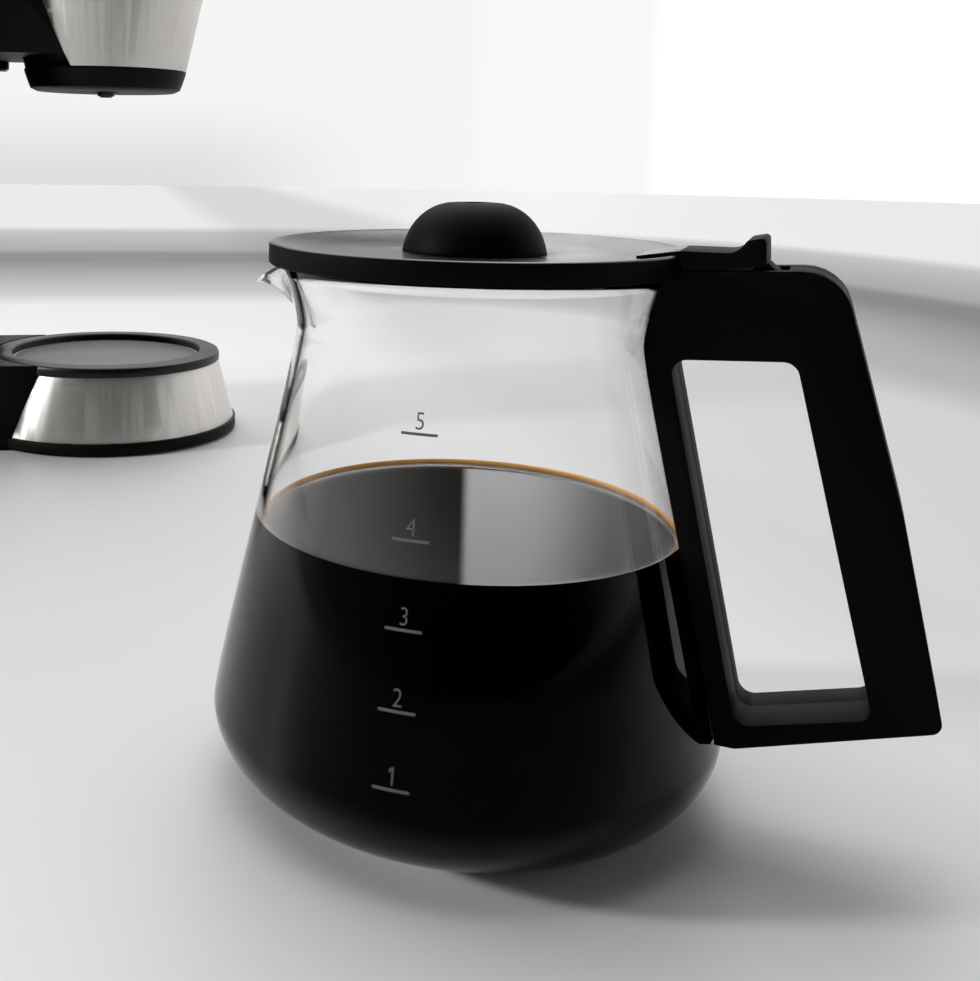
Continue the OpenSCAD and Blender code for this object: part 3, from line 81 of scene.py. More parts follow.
def add_node(tree, kind, sockets=(), **settings):
    """Adds a node. Each socket takes a value, an output, or another node's first output."""
    made = tree.nodes.new(kind)
    for name, value in settings.items():
        setattr(made, name, value)
    for socket, source in dict(sockets).items():
        if isinstance(source, bpy.types.Node):
            source = source.outputs[0]
        if isinstance(source, bpy.types.NodeSocket):
            tree.links.new(source, made.inputs[socket])
        else:
            made.inputs[socket].default_value = source
    return made


def start_material(name):
    """A material with only its output node."""
    material = bpy.data.materials.new(name)
    material.use_nodes = True
    tree = material.node_tree
    tree.nodes.clear()
    return material, tree, tree.nodes.new("ShaderNodeOutputMaterial")


def ramp_colours(ramp, stops):
    """Sets a ramp's stops from (place, hex colour) pairs."""
    while len(ramp.elements) < len(stops):
        ramp.elements.new(1)
    for element, (place, colour) in zip(ramp.elements, stops):
        element.position = place
        element.color = linear(colour)


# in metres, and the sheet itself reaches far past both edges
counter_depth, counter_width, sheet_reach = 1.44, 1.0, 5
bpy.ops.object.select_all(action="DESELECT")
bpy.ops.mesh.primitive_circle_add(vertices=96, radius=sheet_reach, fill_type="NGON")
counter = bpy.context.object
counter.name = "counter"
solid_surface, tree, out = start_material("solid_surface_counter")
place = add_node(tree, "ShaderNodeTexCoord")
part = add_node(tree, "ShaderNodeSeparateXYZ", {0: place.outputs["Object"]})
# the edge is where this comes to 1, and its far right corner is turned in a wide curve
powers = []
for axis, size in (("X", counter_width), ("Y", counter_depth)):
    share = add_node(tree, "ShaderNodeMath", {0: part.outputs[axis], 1: size}, operation="DIVIDE")
    beyond = add_node(tree, "ShaderNodeMath", {0: share, 1: 0}, operation="MAXIMUM")
    powers.append(add_node(tree, "ShaderNodeMath", {0: beyond, 1: 4}, operation="POWER"))
both = add_node(tree, "ShaderNodeMath", {0: powers[0], 1: powers[1]}, operation="ADD")
edge = add_node(tree, "ShaderNodeMath", {0: both, 1: 0.25}, operation="POWER")
halved = add_node(tree, "ShaderNodeMath", {0: edge, 1: 2}, operation="DIVIDE")
shade = add_node(tree, "ShaderNodeValToRGB", {0: halved})
# painted shade and light: the dark band at the edge and the paler bands past it stand in for the
# crease, the sill and the low wall; nearer in, the sheet is a little darker at its middle
ramp_colours(shade.color_ramp, (
    (0, "#d4d4d4"), (0.1, "#d8d8d8"), (0.17, "#e8e8e8"), (0.29, "#e8e8e8"), (0.33, "#c0c0c0"),
    (0.43, "#8e8e8e"), (0.48, "#6c6c6c"), (0.52, "#6e6e6e"), (0.55, "#9c9c9c"), (0.7, "#bcbcbc"),
    (0.76, "#f0f0f0")))
# painted light and shade: the tone darkens and lightens again to the right, and lightens to
# the front, as the room's light falls on the counter
painted_shade_right, painted_light_far_right, painted_light_front = [
    add_node(tree, "ShaderNodeMapRange",
             {0: part.outputs[axis], 1: start, 2: end, 3: low, 4: high},
             interpolation_type="SMOOTHSTEP")
    for axis, start, end, low, high in (
        ("X", 0.16, 0.32, 1, 0.78), ("X", 0.58, 0.8, 0, 0.26), ("Y", -0.12, -0.36, 1, 1.1))]
drift = add_node(tree, "ShaderNodeMath", {0: painted_shade_right, 1: painted_light_far_right}, operation="ADD")
drift = add_node(tree, "ShaderNodeMath", {0: drift, 1: painted_light_front}, operation="MULTIPLY")
painted_light_tone = add_node(tree, "ShaderNodeVectorMath", {0: shade, "Scale": drift}, operation="SCALE")
# a haze of wear in patches of about 0.3 m
haze = add_node(tree, "ShaderNodeTexNoise",
                {"Vector": place.outputs["Object"], "Scale": 3, "Detail": 2})
gloss = add_node(tree, "ShaderNodeMapRange", {0: haze, 1: 0.3, 2: 0.7, 3: 0.44, 4: 0.56})
top = add_node(tree, "ShaderNodeBsdfPrincipled",
               {"Base Color": painted_light_tone, "Roughness": gloss, "Specular IOR Level": 0.3})
tree.links.new(top.outputs[0], out.inputs[0])
counter.data.materials.append(solid_surface)

# ---- Room light ----
# A white room: a soft ceiling light that leans to the back, a dim wall behind with a bright
# window to the right of the jug, a dim wall at the left and a paler one at the right, and
# hardly any light from the front. A low lamp at the left gives the one clear shadow.
world = bpy.data.worlds.new("white_room")
scene.world = world
world.use_nodes = True
tree = world.node_tree
tree.nodes.clear()
out = add_node(tree, "ShaderNodeOutputWorld")
place = add_node(tree, "ShaderNodeTexCoord")
part = add_node(tree, "ShaderNodeSeparateXYZ", {0: place.outputs["Generated"]})
aside, backward, upright = part.outputs
leaning_up = add_node(tree, "ShaderNodeMath", {0: upright, 1: 0.87}, operation="MULTIPLY")
leaning_back = add_node(tree, "ShaderNodeMath", {0: backward, 1: 0.5}, operation="MULTIPLY")
leaning = add_node(tree, "ShaderNodeMath", {0: leaning_up, 1: leaning_back}, operation="ADD")
# how far to the right a direction points, as a slope from straight back, never divided by zero
behind = add_node(tree, "ShaderNodeMath", {0: backward, 1: 0.02}, operation="MAXIMUM")
slope = add_node(tree, "ShaderNodeMath", {0: aside, 1: behind}, operation="DIVIDE")
# each turns smoothly from low to high as its source goes from start to end
soft = {
    name: add_node(tree, "ShaderNodeMapRange", {0: source, 1: start, 2: end, 3: low, 4: high},
                   interpolation_type="SMOOTHSTEP")
    for name, source, start, end, low, high in (
        ("ceiling", leaning, 0.7, 0.98, 0, 2.4),
        ("wall", slope, 0.12, 0.31, 0.44, 0.05),
        ("window edge", slope, 0.307, 0.319, 0, 1),
        ("window", slope, 0.36, 0.5, 1.8, 0.42),
        ("facing", backward, 0.05, 0.5, 0, 1),
        ("left wall", aside, -0.5, -0.95, 0, 0.3),
        ("right wall", aside, 0.55, 0.95, 0, 0.8),
        ("dusk below", upright, 0.05, -0.03, 0, 0.17),
        ("dusk at left", slope, 0.25, 0.05, 0, 1),
        ("backdrop", slope, 0.3, 0.325, 0.91, 0.94),
        ("backdrop at right", slope, 0.466, 0.486, 0, 0.1),
        ("near horizon", upright, 0.13, 0.17, 1, 0),
        ("ahead", backward, 0.1, 0.4, 0, 1))}
window = add_node(tree, "ShaderNodeMath", {0: soft["window edge"], 1: soft["window"]},
                  operation="MULTIPLY")
wall = add_node(tree, "ShaderNodeMath", {0: soft["wall"], 1: window}, operation="ADD")
wall = add_node(tree, "ShaderNodeMath", {0: soft["facing"], 1: wall}, operation="MULTIPLY")
middle = add_node(tree, "ShaderNodeMath", {0: soft["ceiling"], 1: wall}, operation="ADD")
sides = add_node(tree, "ShaderNodeMath", {0: soft["left wall"], 1: soft["right wall"]},
                 operation="ADD")
room = add_node(tree, "ShaderNodeMath", {0: middle, 1: sides}, operation="ADD")
front_light = 0.02
room = add_node(tree, "ShaderNodeMath", {0: room, 1: front_light}, operation="ADD")
dusk = add_node(tree, "ShaderNodeMath", {0: soft["dusk below"], 1: soft["dusk at left"]},
                operation="MULTIPLY")
backdrop = add_node(tree, "ShaderNodeMath", {0: soft["backdrop"], 1: soft["backdrop at right"]},
                    operation="ADD")
backdrop = add_node(tree, "ShaderNodeMath", {0: backdrop, 1: dusk}, operation="SUBTRACT")
# the backdrop is what the lens looks at, and what gloss and glass show near the horizon
rays = add_node(tree, "ShaderNodeLightPath")
looking = rays.outputs["Is Transmission Ray"]
for operation, other in (("MAXIMUM", rays.outputs["Is Glossy Ray"]),
                         ("MULTIPLY", soft["near horizon"]),
                         ("MULTIPLY", soft["ahead"]),
                         ("MAXIMUM", rays.outputs["Is Camera Ray"])):
    looking = add_node(tree, "ShaderNodeMath", {0: looking, 1: other}, operation=operation)
level = add_node(tree, "ShaderNodeMix", {0: looking, 2: room, 3: backdrop})
light = add_node(tree, "ShaderNodeBackground", {"Color": linear("#ffffff"), "Strength": level})
tree.links.new(light.outputs[0], out.inputs[0])

lamp_place, lamp_target = Vector((-1.2, -0.01, 0.62)), Vector((0.08, -0.23, 0.06))
lamp_data = bpy.data.lights.new("low_lamp", "AREA")
lamp_data.size = 0.14
lamp_data.energy = 10
lamp = bpy.data.objects.new("low_lamp", lamp_data)
scene.collection.objects.link(lamp)
lamp.location = lamp_place
lamp.rotation_euler = (lamp_target - lamp_place).to_track_quat("-Z", "Y").to_euler()

# ---- Base, tower and head shells ----
# Injection moulded polypropylene with a fine spark-eroded grain, screwed together from below
# and behind. It is matt black, a little smoother where hands wear it.


def dress(nodes, material, edge=0, smooth=True):
    """Gives CAD nodes their material and, where edge is set, corners rounded to that many mm."""
    for name in nodes:
        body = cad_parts[name]
        body.data.materials.clear()
        body.data.materials.append(material)
        weld = body.modifiers.new("weld", "WELD")
        weld.merge_threshold = 0.01 * mm
        if edge:
            flat = body.modifiers.new("flat", "DECIMATE")
            flat.decimate_type = "DISSOLVE"
            flat.angle_limit = radians(0.6)
            rounding = body.modifiers.new("rounding", "BEVEL")
            rounding.width = edge * mm
            rounding.segments = 2
            rounding.limit_method = "ANGLE"
            rounding.angle_limit = radians(32)
            rounding.harden_normals = True
        for polygon in body.data.polygons:
            polygon.use_smooth = smooth


def moulded(name, colour, worn, roughness, grain, depth, shine=0.5):
    """Moulded plastic or rubber: grain is the size of its texture in mm, depth its height in mm.

    It is worn in patches of about 36 mm."""
    material, tree, out = start_material(name)
    place = add_node(tree, "ShaderNodeTexCoord")
    pits = add_node(tree, "ShaderNodeTexNoise",
                    {"Vector": place.outputs["Object"], "Scale": 1 / (grain * mm), "Detail": 2})
    wear = add_node(tree, "ShaderNodeTexNoise",
                    {"Vector": place.outputs["Object"], "Scale": 28, "Detail": 3})
    shade = add_node(tree, "ShaderNodeValToRGB", {0: wear})
    ramp_colours(shade.color_ramp, ((0.3, colour), (0.75, worn)))
    gloss = add_node(tree, "ShaderNodeMapRange",
                     {0: wear, 1: 0.3, 2: 0.7, 3: roughness - 0.04, 4: roughness + 0.06})
    bump = add_node(tree, "ShaderNodeBump",
                    {"Height": pits, "Strength": 0.6, "Distance": depth * mm})
    skin = add_node(tree, "ShaderNodeBsdfPrincipled",
                    {"Base Color": shade, "Roughness": gloss, "Normal": bump, "IOR": 1.49,
                     "Specular IOR Level": shine})
    tree.links.new(skin.outputs[0], out.inputs[0])
    return material


polypropylene = moulded("polypropylene_moulded_black", "#040404", "#080808", 0.5, 0.7, 0.03, 0.12)
dress(["base_plate", "tower_casing", "foot_housing", "rear_cover", "head_shell", "head_cover",
       "tank_lid", "holder_shell", "swing_bracket", "switch_frame"], polypropylene, 0.5)

# ---- Feet and cord gland ----
# Nitrile rubber, pressed into the base plate and the rear cover. Dull, almost black, and a
# little dusty, so it reads softer than the plastic round it.
nitrile = moulded("nitrile_rubber_pressed", "#141414", "#1e1e1d", 0.82, 0.9, 0.04)
dress(["rubber_feet", "cord_gland"], nitrile, 0.3)

# ---- Screws and pins ----
# Cold-headed steel with bright zinc plating, driven into the mouldings. Fine crystals of zinc
# break its shine up, and it is a shade bluer than stainless steel.


def metal(name, colour, roughness, crystal, depth, brushed=0):
    """Bare or plated metal: crystal is the size of its pattern in mm along X, Y and Z.

    Where it is brushed round its upright axis, its shine is drawn out up and down."""
    material, tree, out = start_material(name)
    place = add_node(tree, "ShaderNodeTexCoord")
    scaled = add_node(tree, "ShaderNodeMapping",
                      {0: place.outputs["Object"], "Scale": [1 / (size * mm) for size in crystal]})
    lines = add_node(tree, "ShaderNodeTexNoise", {"Vector": scaled, "Scale": 1, "Detail": 2})
    gloss = add_node(tree, "ShaderNodeMapRange",
                     {0: lines, 1: 0.3, 2: 0.7, 3: roughness - 0.04, 4: roughness + 0.05})
    bump = add_node(tree, "ShaderNodeBump",
                    {"Height": lines, "Strength": 0.7, "Distance": depth * mm})
    skin = add_node(tree, "ShaderNodeBsdfPrincipled",
                    {"Base Color": linear(colour), "Roughness": gloss, "Normal": bump,
                     "Metallic": 1, "Anisotropic": brushed, "Anisotropic Rotation": 0.25})
    if brushed:
        around = add_node(tree, "ShaderNodeTangent", direction_type="RADIAL", axis="Z")
        tree.links.new(around.outputs[0], skin.inputs["Tangent"])
    tree.links.new(skin.outputs[0], out.inputs[0])
    return material


zinc = metal("steel_zinc_plated", "#a9acb0", 0.34, (2.5, 2.5, 2.5), 0.01)
dress(["base_screws", "cover_screws", "head_screws", "handle_screws", "heater_clip", "swing_pin",
       "tank_lid_pins", "lid_pin"], zinc, 0.15)

# ---- Steel skirt and filter cone ----
# Stainless sheet, rolled and seam welded, then brushed round and round by a belt, so its fine
# scratches run level. They are drawn 0.5 mm apart, wider than real ones, so that they show.
stainless = metal("stainless_steel_brushed", "#e0ddd8", 0.45, (120, 120, 0.5), 0.004, 0.8)
dress(["base_band", "cone_sleeve"], stainless, 0.15)

# ---- Hot plate ----
# Deep-drawn steel with a baked non-stick coating, pressed into a black ring on a silicone seal.
# The coating is a warm dark grey with a satin shine, scuffed in rings where the jug is turned.
phenolic = moulded("phenolic_moulded_black", "#060606", "#0c0c0c", 0.38, 1.2, 0.01, 0.3)
dress(["plate_ring"], phenolic, 0.6)
plate_x, plate_y = -26.3, 226.4
coating, tree, out = start_material("non_stick_coating_grey")
place = add_node(tree, "ShaderNodeTexCoord")
centred = add_node(tree, "ShaderNodeMapping", {0: place.outputs["Object"],
                                               "Location": (-plate_x * mm, -plate_y * mm, 0)})
# rings 3.5 mm apart
scuffs = add_node(tree, "ShaderNodeTexWave",
                  {0: centred, "Scale": 90, "Distortion": 5, "Detail": 3},
                  wave_type="RINGS", rings_direction="Z")
tone = add_node(tree, "ShaderNodeValToRGB", {0: scuffs})
ramp_colours(tone.color_ramp, ((0.2, "#55534f"), (0.9, "#636059")))
satin = add_node(tree, "ShaderNodeMapRange", {0: scuffs, 3: 0.3, 4: 0.42})
skin = add_node(tree, "ShaderNodeBsdfPrincipled",
                {"Base Color": tone, "Roughness": satin, "Metallic": 0.3})
tree.links.new(skin.outputs[0], out.inputs[0])
dress(["hot_plate"], coating, 0.4)

# ---- Heater ----
# An extruded aluminium bar with the heating rod and the water tube in it, bent to a horseshoe
# and held up against the plate. Matt and slightly scratched along its length.
aluminium = metal("aluminium_extruded", "#b7b7b6", 0.42, (14, 14, 14), 0.03)
dress(["heater"], aluminium, 0.2)

# ---- Thermostat, fuse and terminals ----
# Glazed steatite bodies, pressed and fired. The first two are held at the heater by its clip,
# and the block stands in the base. Cream white, with brown specks about 1 mm apart.
steatite, tree, out = start_material("steatite_glazed")
place = add_node(tree, "ShaderNodeTexCoord")
specks = add_node(tree, "ShaderNodeTexVoronoi", {"Vector": place.outputs["Object"], "Scale": 900})
shade = add_node(tree, "ShaderNodeValToRGB", {0: specks.outputs["Distance"]})
ramp_colours(shade.color_ramp, ((0.05, "#9a8468"), (0.12, "#e0d9c8")))
skin = add_node(tree, "ShaderNodeBsdfPrincipled",
                {"Base Color": shade, "Roughness": 0.25, "Coat Weight": 0.4})
tree.links.new(skin.outputs[0], out.inputs[0])
dress(["thermostat", "thermal_fuse", "terminal_block"], steatite, 0.2)

# ---- Hoses, seals and bond pads ----
# Platinum-cured silicone, extruded or pressed, held by spring-wire clips. Milky, with a soft
# satin skin.
silicone = moulded("silicone_milky", "#c6c4bd", "#d6d4ce", 0.45, 1.5, 0.02)
dress(["plate_seal", "check_valve", "inlet_hose", "riser_hose", "valve_seal", "bond_pads"],
      silicone)
spring_steel = metal("spring_steel_drawn", "#84868a", 0.3, (1.5, 1.5, 1.5), 0.01)
dress(["hose_clips"], spring_steel)

# ---- Valve spring ----
# Wound from drawn steel wire in five turns, between the drip valve's shoulder and its seat.
# It is only pushed in by the valve, so the real one shortens as the valve is lifted; here it
# keeps one length and rides with the holder.
spring_place = Vector((-26.343, 226.371, 233.5)) * mm
spring_r, wire_r, spring_l, spring_turns, valve_travel = 4.6, 0.5, 12.5, 5, 3.5


def face_outward():
    """Turns all faces of the mesh in edit mode outward, and goes back to object mode."""
    bpy.ops.mesh.select_all(action="SELECT")
    bpy.ops.mesh.normals_make_consistent(inside=False)
    bpy.ops.object.mode_set(mode="OBJECT")


bpy.ops.object.select_all(action="DESELECT")
bpy.ops.mesh.primitive_circle_add(
    vertices=10, radius=wire_r * mm, location=(spring_r * mm, 0, (wire_r - spring_l) * mm),
    rotation=(pi / 2, 0, 0))
spring = bpy.context.object
spring.name = "valve_spring_coil"
bpy.ops.object.transform_apply(location=True, rotation=True)
winding = spring.modifiers.new("winding", "SCREW")
winding.steps = 24
winding.iterations = spring_turns
winding.screw_offset = (spring_l - 2 * wire_r) / spring_turns * mm
winding.use_merge_vertices = False
bpy.ops.object.modifier_apply(modifier="winding")
bpy.ops.object.mode_set(mode="EDIT")
bpy.ops.mesh.select_all(action="SELECT")
bpy.ops.mesh.fill_holes(sides=0)
face_outward()
bpy.ops.object.shade_smooth_by_angle(angle=radians(50))
spring.data.transform(Matrix.Translation(spring_place))
spring.data.materials.append(spring_steel)
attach(spring, "filter_holder")
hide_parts("valve_spring")
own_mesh(spring)

# ---- Water tank, level window and riser ----
# Styrene acrylonitrile, injection moulded clear. Its faces are polished, with a cold tint and
# a trace of haze from limescale.


def clear(name, colour, roughness, ior, shine="#ffffff"):
    """A clear material that lets the lamp's light through instead of casting a black shadow."""
    material, tree, out = start_material(name)
    skin = add_node(tree, "ShaderNodeBsdfPrincipled",
                    {"Base Color": linear(colour), "Roughness": roughness, "IOR": ior,
                     "Transmission Weight": 1, "Specular Tint": linear(shine)})
    rays = add_node(tree, "ShaderNodeLightPath")
    passing = add_node(tree, "ShaderNodeBsdfTransparent", {0: linear(colour)})
    mix = add_node(tree, "ShaderNodeMixShader",
                   {0: rays.outputs["Is Shadow Ray"], 1: skin, 2: passing})
    tree.links.new(mix.outputs[0], out.inputs[0])
    return material


styrene = clear("styrene_acrylonitrile_clear", "#e4ecee", 0.12, 1.57)
dress(["water_tank", "level_window", "riser_tube"], styrene)

# ---- Funnel, drip valve, spray head and strainer ----
# Moulded polyamide, which stands hot water. The funnel sits in the holder with the valve in
# its floor, the spray head in the head's underside and the strainer over the tank's outlet.
polyamide = moulded("polyamide_moulded_black", "#070707", "#0f0f0f", 0.35, 1.0, 0.012, 0.35)
dress(["spray_head", "funnel", "drip_valve", "tank_strainer"], polyamide, 0.3)

# ---- Switch ----
# A rocker of the same polyamide in its frame, with a lamp behind a red acrylic lens.
# The rocker is polished by fingers, so it shines more than its frame.
dress(["switch_rocker"], polyamide, 0.3)
lens = clear("acrylic_red", "#c22a1c", 0.15, 1.49)
dress(["pilot_lamp"], lens)

# ---- Glass jug ----
# Borosilicate glass blown in a mould, with a heavy foot, a waisted neck and a fire-polished rim
# that is drawn out hot into a pouring spout. Clear and colourless, without seams.
jug_place = (Matrix.Translation(Vector((79.655, -231.629, 0)) * mm)
             @ Matrix.Rotation(radians(-33.5), 4, "Z"))
foot_r, belly_r, waist_r, rim_r = 54, 75, 51.5, 56
glass_floor, belly_z, waist_z, rim_z = 6.0, 22, 134, 152.3
glass_wall = 2.2
# the glass gathers at the heel, where the wall turns into the floor
heel, heel_h = 6.0, 26
# the spout's half width in degrees round the rim, its reach and its dip in mm, and how much
# further its last tenth curls down
spout_z, spout_angle, spout_reach, spout_dip, spout_curl = 122, 13, 15, 7, 2
turning_steps = 144


def curve(corners, steps):
    """Points in mm along a Bezier curve with four corners, its first one left out."""
    found = []
    for i in range(1, steps + 1):
        t = i / steps
        found.append(tuple(
            (1 - t) ** 3 * a + 3 * (1 - t) ** 2 * t * b + 3 * (1 - t) * t * t * c + t ** 3 * d
            for a, b, c, d in zip(*corners)))
    return found


def turned(name, profile):
    """A piece turned about the jug's axis from a profile of (radius, height) points in mm."""
    bpy.ops.object.select_all(action="DESELECT")
    bpy.ops.mesh.primitive_plane_add(size=mm)
    piece = bpy.context.object
    piece.name = name
    bpy.ops.object.mode_set(mode="EDIT")
    bpy.ops.mesh.merge(type="CENTER")
    bpy.ops.transform.translate(value=(profile[0][0] * mm, 0, profile[0][1] * mm))
    for (r0, z0), (r1, z1) in zip(profile, profile[1:]):
        bpy.ops.mesh.extrude_region_move(
            TRANSFORM_OT_translate={"value": ((r1 - r0) * mm, 0, (z1 - z0) * mm)})
    bpy.ops.mesh.select_all(action="SELECT")
    bpy.ops.mesh.spin(steps=turning_steps, angle=2 * pi, center=(0, 0, 0), axis=(0, 0, 1))
    bpy.ops.mesh.select_all(action="SELECT")
    bpy.ops.mesh.remove_doubles(threshold=0.005 * mm)
    face_outward()
    bpy.ops.object.shade_smooth_by_angle(angle=radians(35))
    return piece


def stand(piece, material, slot, *nodes):
    """Puts a piece that was made about the jug's axis in its place, with its finish."""
    piece.data.transform(jug_place)
    piece.data.materials.clear()
    piece.data.materials.append(material)
    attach(piece, "jug")
    if nodes:
        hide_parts(*nodes)


outside = ([(foot_r, 0)]
           + curve(((foot_r, 0), (62, 0.4), (belly_r, 11), (belly_r, belly_z)), 16)
           + curve(((belly_r, belly_z), (belly_r, 30), (waist_r, 126), (waist_r, waist_z)), 40)
           + curve(((waist_r, waist_z), (waist_r, 140), (54.6, 148.3), (rim_r, rim_z)), 12))


def lining(wetted, top):
    """The inside of the glass below a height, as outside moved in by the wall, in mm.

    What the coffee wets is added to the wall, and one point is left on the floor."""
    floor = glass_floor + wetted
    found = []
    for i, (r, z) in enumerate(outside):
        (r0, z0), (r1, z1) = outside[max(i - 1, 0)], outside[min(i + 1, len(outside) - 1)]
        size = hypot(r1 - r0, z1 - z0)
        depth = glass_wall + wetted + heel * max(1 - z / heel_h, 0) ** 1.5
        inner_z = max(z + depth * (r1 - r0) / size, floor)
        if inner_z < top and (not found or inner_z > floor):
            found.append((r - depth * (z1 - z0) / size, inner_z))
    return found


hollow = [(0, 1.2), (40, 1.2), (44.5, 0.9), (47.5, 0.15), (50, 0)]
lip = [(rim_r - 0.1, rim_z - 0.4), (rim_r - 0.6, rim_z), (rim_r - 1.5, rim_z),
       (rim_r - 2.1, rim_z - 0.4)]
jug_glass = turned("jug_glass", hollow + outside[:-1] + lip + lining(0, rim_z - 0.9)[::-1]
                   + [(0, glass_floor)])
# the lip is drawn out opposite the handle
for corner in jug_glass.data.vertices:
    r, z = hypot(corner.co.x, corner.co.y) / mm, corner.co.z / mm
    if z > spout_z:
        off = degrees(atan2(corner.co.y, -corner.co.x))
        rise = (z - spout_z) / (rim_z - spout_z)
        bend = exp(-(off / spout_angle) ** 2)
        curl = max(rise - 0.9, 0) / 0.1
        corner.co.x *= (r + spout_reach * rise ** 2.6 * bend) / r
        corner.co.y *= (r + spout_reach * rise ** 2.6 * bend) / r
        corner.co.z -= (spout_dip * rise ** 1.4 + spout_curl * curl ** 2) * bend * mm
glass = clear("borosilicate_glass_blown", "#fefefe", 0.0, 1.47, "#4c4c4c")
stand(jug_glass, glass, "glass", "glass_jug")

# ---- Coffee ----
# Brewed coffee to just above the fourth mark. Black in the mass, and amber where its thin edge
# climbs the glass: its own colour there, with painted light shining through it. It wets the
# glass, so no air lies between them and only its top shines.
coffee_level, wetted = 76.4, -0.25
pool = lining(wetted, coffee_level + 1.8)
edge_r = pool[-1][0]
# how far in from the edge, and how high above the level, its surface runs up the glass
meniscus = [(edge_r - inset, coffee_level + climb) for inset, climb in (
    (0.3, 1.9), (0.7, 1.3), (1.3, 0.7), (2.2, 0.3), (4, 0.05), (7, 0))]
coffee = turned("coffee_pool", [(0, glass_floor + wetted)] + pool + meniscus
                + [(0, coffee_level)])
brew, tree, out = start_material("brewed_coffee")
place = add_node(tree, "ShaderNodeTexCoord")
part = add_node(tree, "ShaderNodeSeparateXYZ", {0: place.outputs["Object"]})
# partly painted light: the amber up the thin edge is the coffee's own thin colour and light
# shining through it
lit_through_edge = add_node(tree, "ShaderNodeMapRange",
                {0: part.outputs["Z"], 1: (coffee_level + 0.1) * mm, 2: (coffee_level + 1.7) * mm})
shade = add_node(tree, "ShaderNodeValToRGB", {0: lit_through_edge})
ramp_colours(shade.color_ramp, ((0, "#050302"), (0.3, "#4a2a12"), (1, "#c0904e")))
skin = add_node(tree, "ShaderNodeBsdfPrincipled",
                {"Base Color": shade, "Roughness": 0.02, "IOR": 1.33})
tree.links.new(skin.outputs[0], out.inputs[0])
wet, tree, out = start_material("brewed_coffee_against_glass")
place = add_node(tree, "ShaderNodeTexCoord")
drift = add_node(tree, "ShaderNodeTexNoise", {"Vector": place.outputs["Object"], "Scale": 30})
shade = add_node(tree, "ShaderNodeValToRGB", {0: drift})
ramp_colours(shade.color_ramp, ((0.3, "#030201"), (0.7, "#060302")))
skin = add_node(tree, "ShaderNodeBsdfPrincipled",
                {"Base Color": shade, "Roughness": 1, "Specular IOR Level": 0})
tree.links.new(skin.outputs[0], out.inputs[0])
# all but the top lies against the glass
touching = [face.index for face in coffee.data.polygons
            if (face.normal.z < 0.5 and face.normal.dot(face.center) > 0) or face.normal.z < -0.5]
stand(coffee, brew, "coffee", "coffee")
coffee.data.materials.append(wet)
for index in touching:
    coffee.data.polygons[index].material_index = 1

# ---- Cup marks ----
# Light grey ceramic ink, screen-printed on the glass and fired: a line for each cup, with
# its number above it. Matt, and thin enough to follow the glass.
ink = moulded("ceramic_ink_fired", "#6c6c6b", "#757573", 0.8, 0.5, 0.01, 0.1)
dress(["cup_marks"], ink, smooth=False)
mark_side = radians(-87)
mark_heights = 28.9, 47.3, 66.6, 88.1, 114.1
# a figure's size before it is drawn narrower and lower, in mm, and how far above its line it is
figure_size, figure_thinned, narrowed, lowered, figure_lift = 6.6, -0.05, 0.86, 0.97, 1.1
ink_gap, ink_depth = 0.05, 0.05


def glass_radius(z):
    """The outside radius of the glass at a height, in mm."""
    for (r0, z0), (r1, z1) in zip(outside, outside[1:]):
        if z0 <= z <= z1:
            return r0 + (r1 - r0) * (z - z0) / (z1 - z0)
    return outside[-1][0]


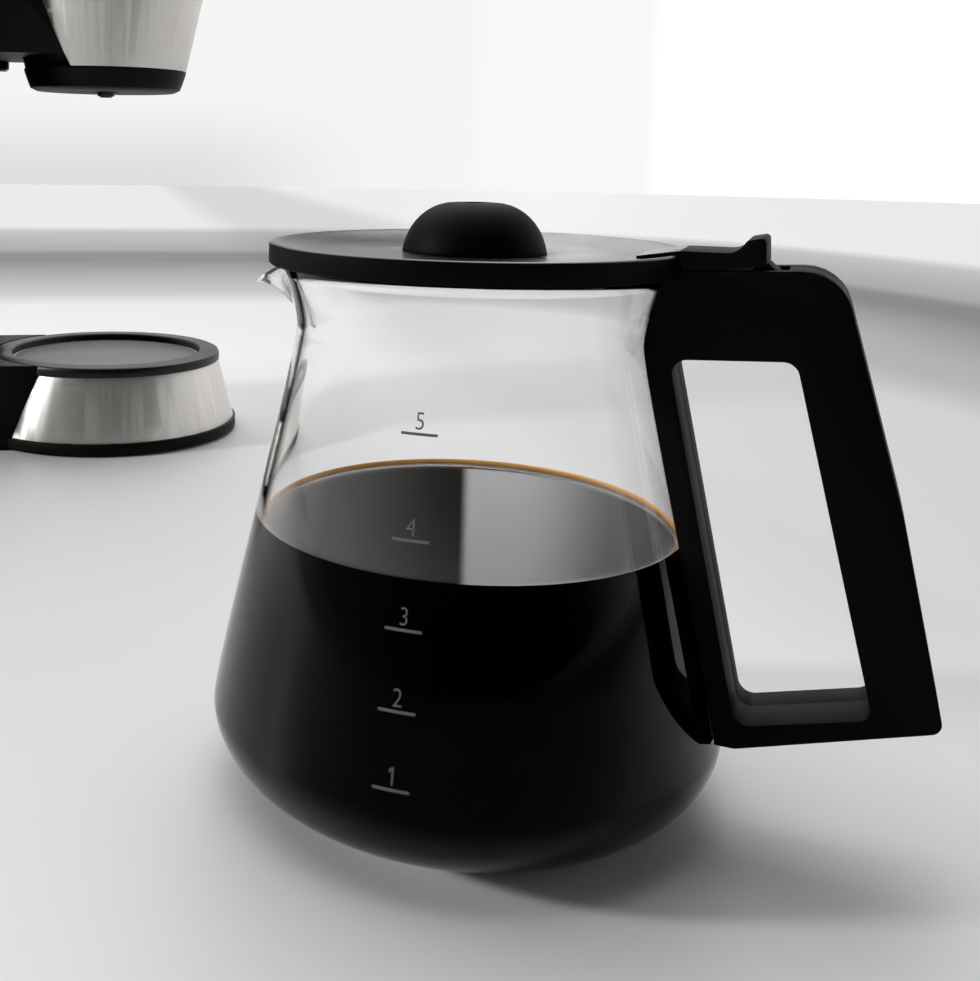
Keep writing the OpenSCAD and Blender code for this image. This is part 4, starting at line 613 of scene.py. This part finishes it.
for number, height in enumerate(mark_heights, 1):
    bpy.ops.object.select_all(action="DESELECT")
    if number == 1:
        # a plain stroke with a short flag
        bpy.ops.mesh.primitive_plane_add(size=0.62, location=(0.3, 0.31, 0))
        bpy.ops.object.transform_apply(location=True)
        for moved, chosen in (((0, 2.9, 0), lambda v: v.co.y > 0.5),
                              ((0, 0.95, 0), lambda v: v.co.y > 3.3),
                              ((-0.85, -0.6, 0), lambda v: v.co.y > 3.3 and v.co.x < 0.1)):
            for corner in bpy.context.object.data.vertices:
                corner.select = chosen(corner)
            bpy.ops.object.mode_set(mode="EDIT")
            bpy.ops.mesh.select_mode(type="VERT")
            bpy.ops.mesh.extrude_region_move(TRANSFORM_OT_translate={"value": moved})
            bpy.ops.object.mode_set(mode="OBJECT")
    else:
        bpy.ops.object.text_add()
        bpy.context.object.data.body = str(number)
        bpy.context.object.data.size = figure_size
        bpy.context.object.data.offset = figure_thinned
        bpy.context.object.data.align_x = "CENTER"
        bpy.context.object.data.resolution_u = 6
        bpy.ops.object.convert(target="MESH")
    figure = bpy.context.object
    figure.name = f"cup_number_{number}"
    bpy.ops.object.mode_set(mode="EDIT")
    bpy.ops.mesh.select_all(action="SELECT")
    bpy.ops.mesh.subdivide(number_cuts=1)
    bpy.ops.mesh.extrude_region_move(TRANSFORM_OT_translate={"value": (0, 0, ink_depth)})
    face_outward()
    for corner in figure.data.vertices:
        x, y, rise = corner.co
        x *= narrowed
        z = height + figure_lift + y * lowered
        r = glass_radius(z) + ink_gap + rise
        angle = mark_side + x / glass_radius(height)
        corner.co = Vector((r * cos(angle), r * sin(angle), z)) * mm
    stand(figure, ink, "ink")

# ---- Handle ----
# Two half shells of moulded ABS, screwed together round the glass from the far side. Satin
# black, with edges just soft enough to catch a thin line of light.
abs_satin = moulded("abs_moulded_satin_black", "#030303", "#050505", 0.55, 0.6, 0.012, 0.06)
dress(["handle_shell", "handle_cover"], abs_satin, 0.9)

# ---- Jug lid ----
# Moulded ABS, hinged on the handle by a steel pin. Brewed coffee runs in through the hole in
# the dome. The dish is polished and mirrors the room at a flat angle, and all the rest is satin.
lid_dish_r = 60
abs_polished = moulded("abs_moulded_polished_black", "#040404", "#080808", 0.27, 3, 0.002, 0.7)
dress(["jug_lid", "lid_skirt", "lid_dome"], abs_satin, 0.3)
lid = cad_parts["jug_lid"]
lid.data.materials.append(abs_polished)
for face in lid.data.polygons:
    off_axis = (lid.matrix_world @ face.center - jug_place.translation).xy.length
    if face.normal.z > 0.5 and off_axis < lid_dish_r * mm:
        face.material_index = 1
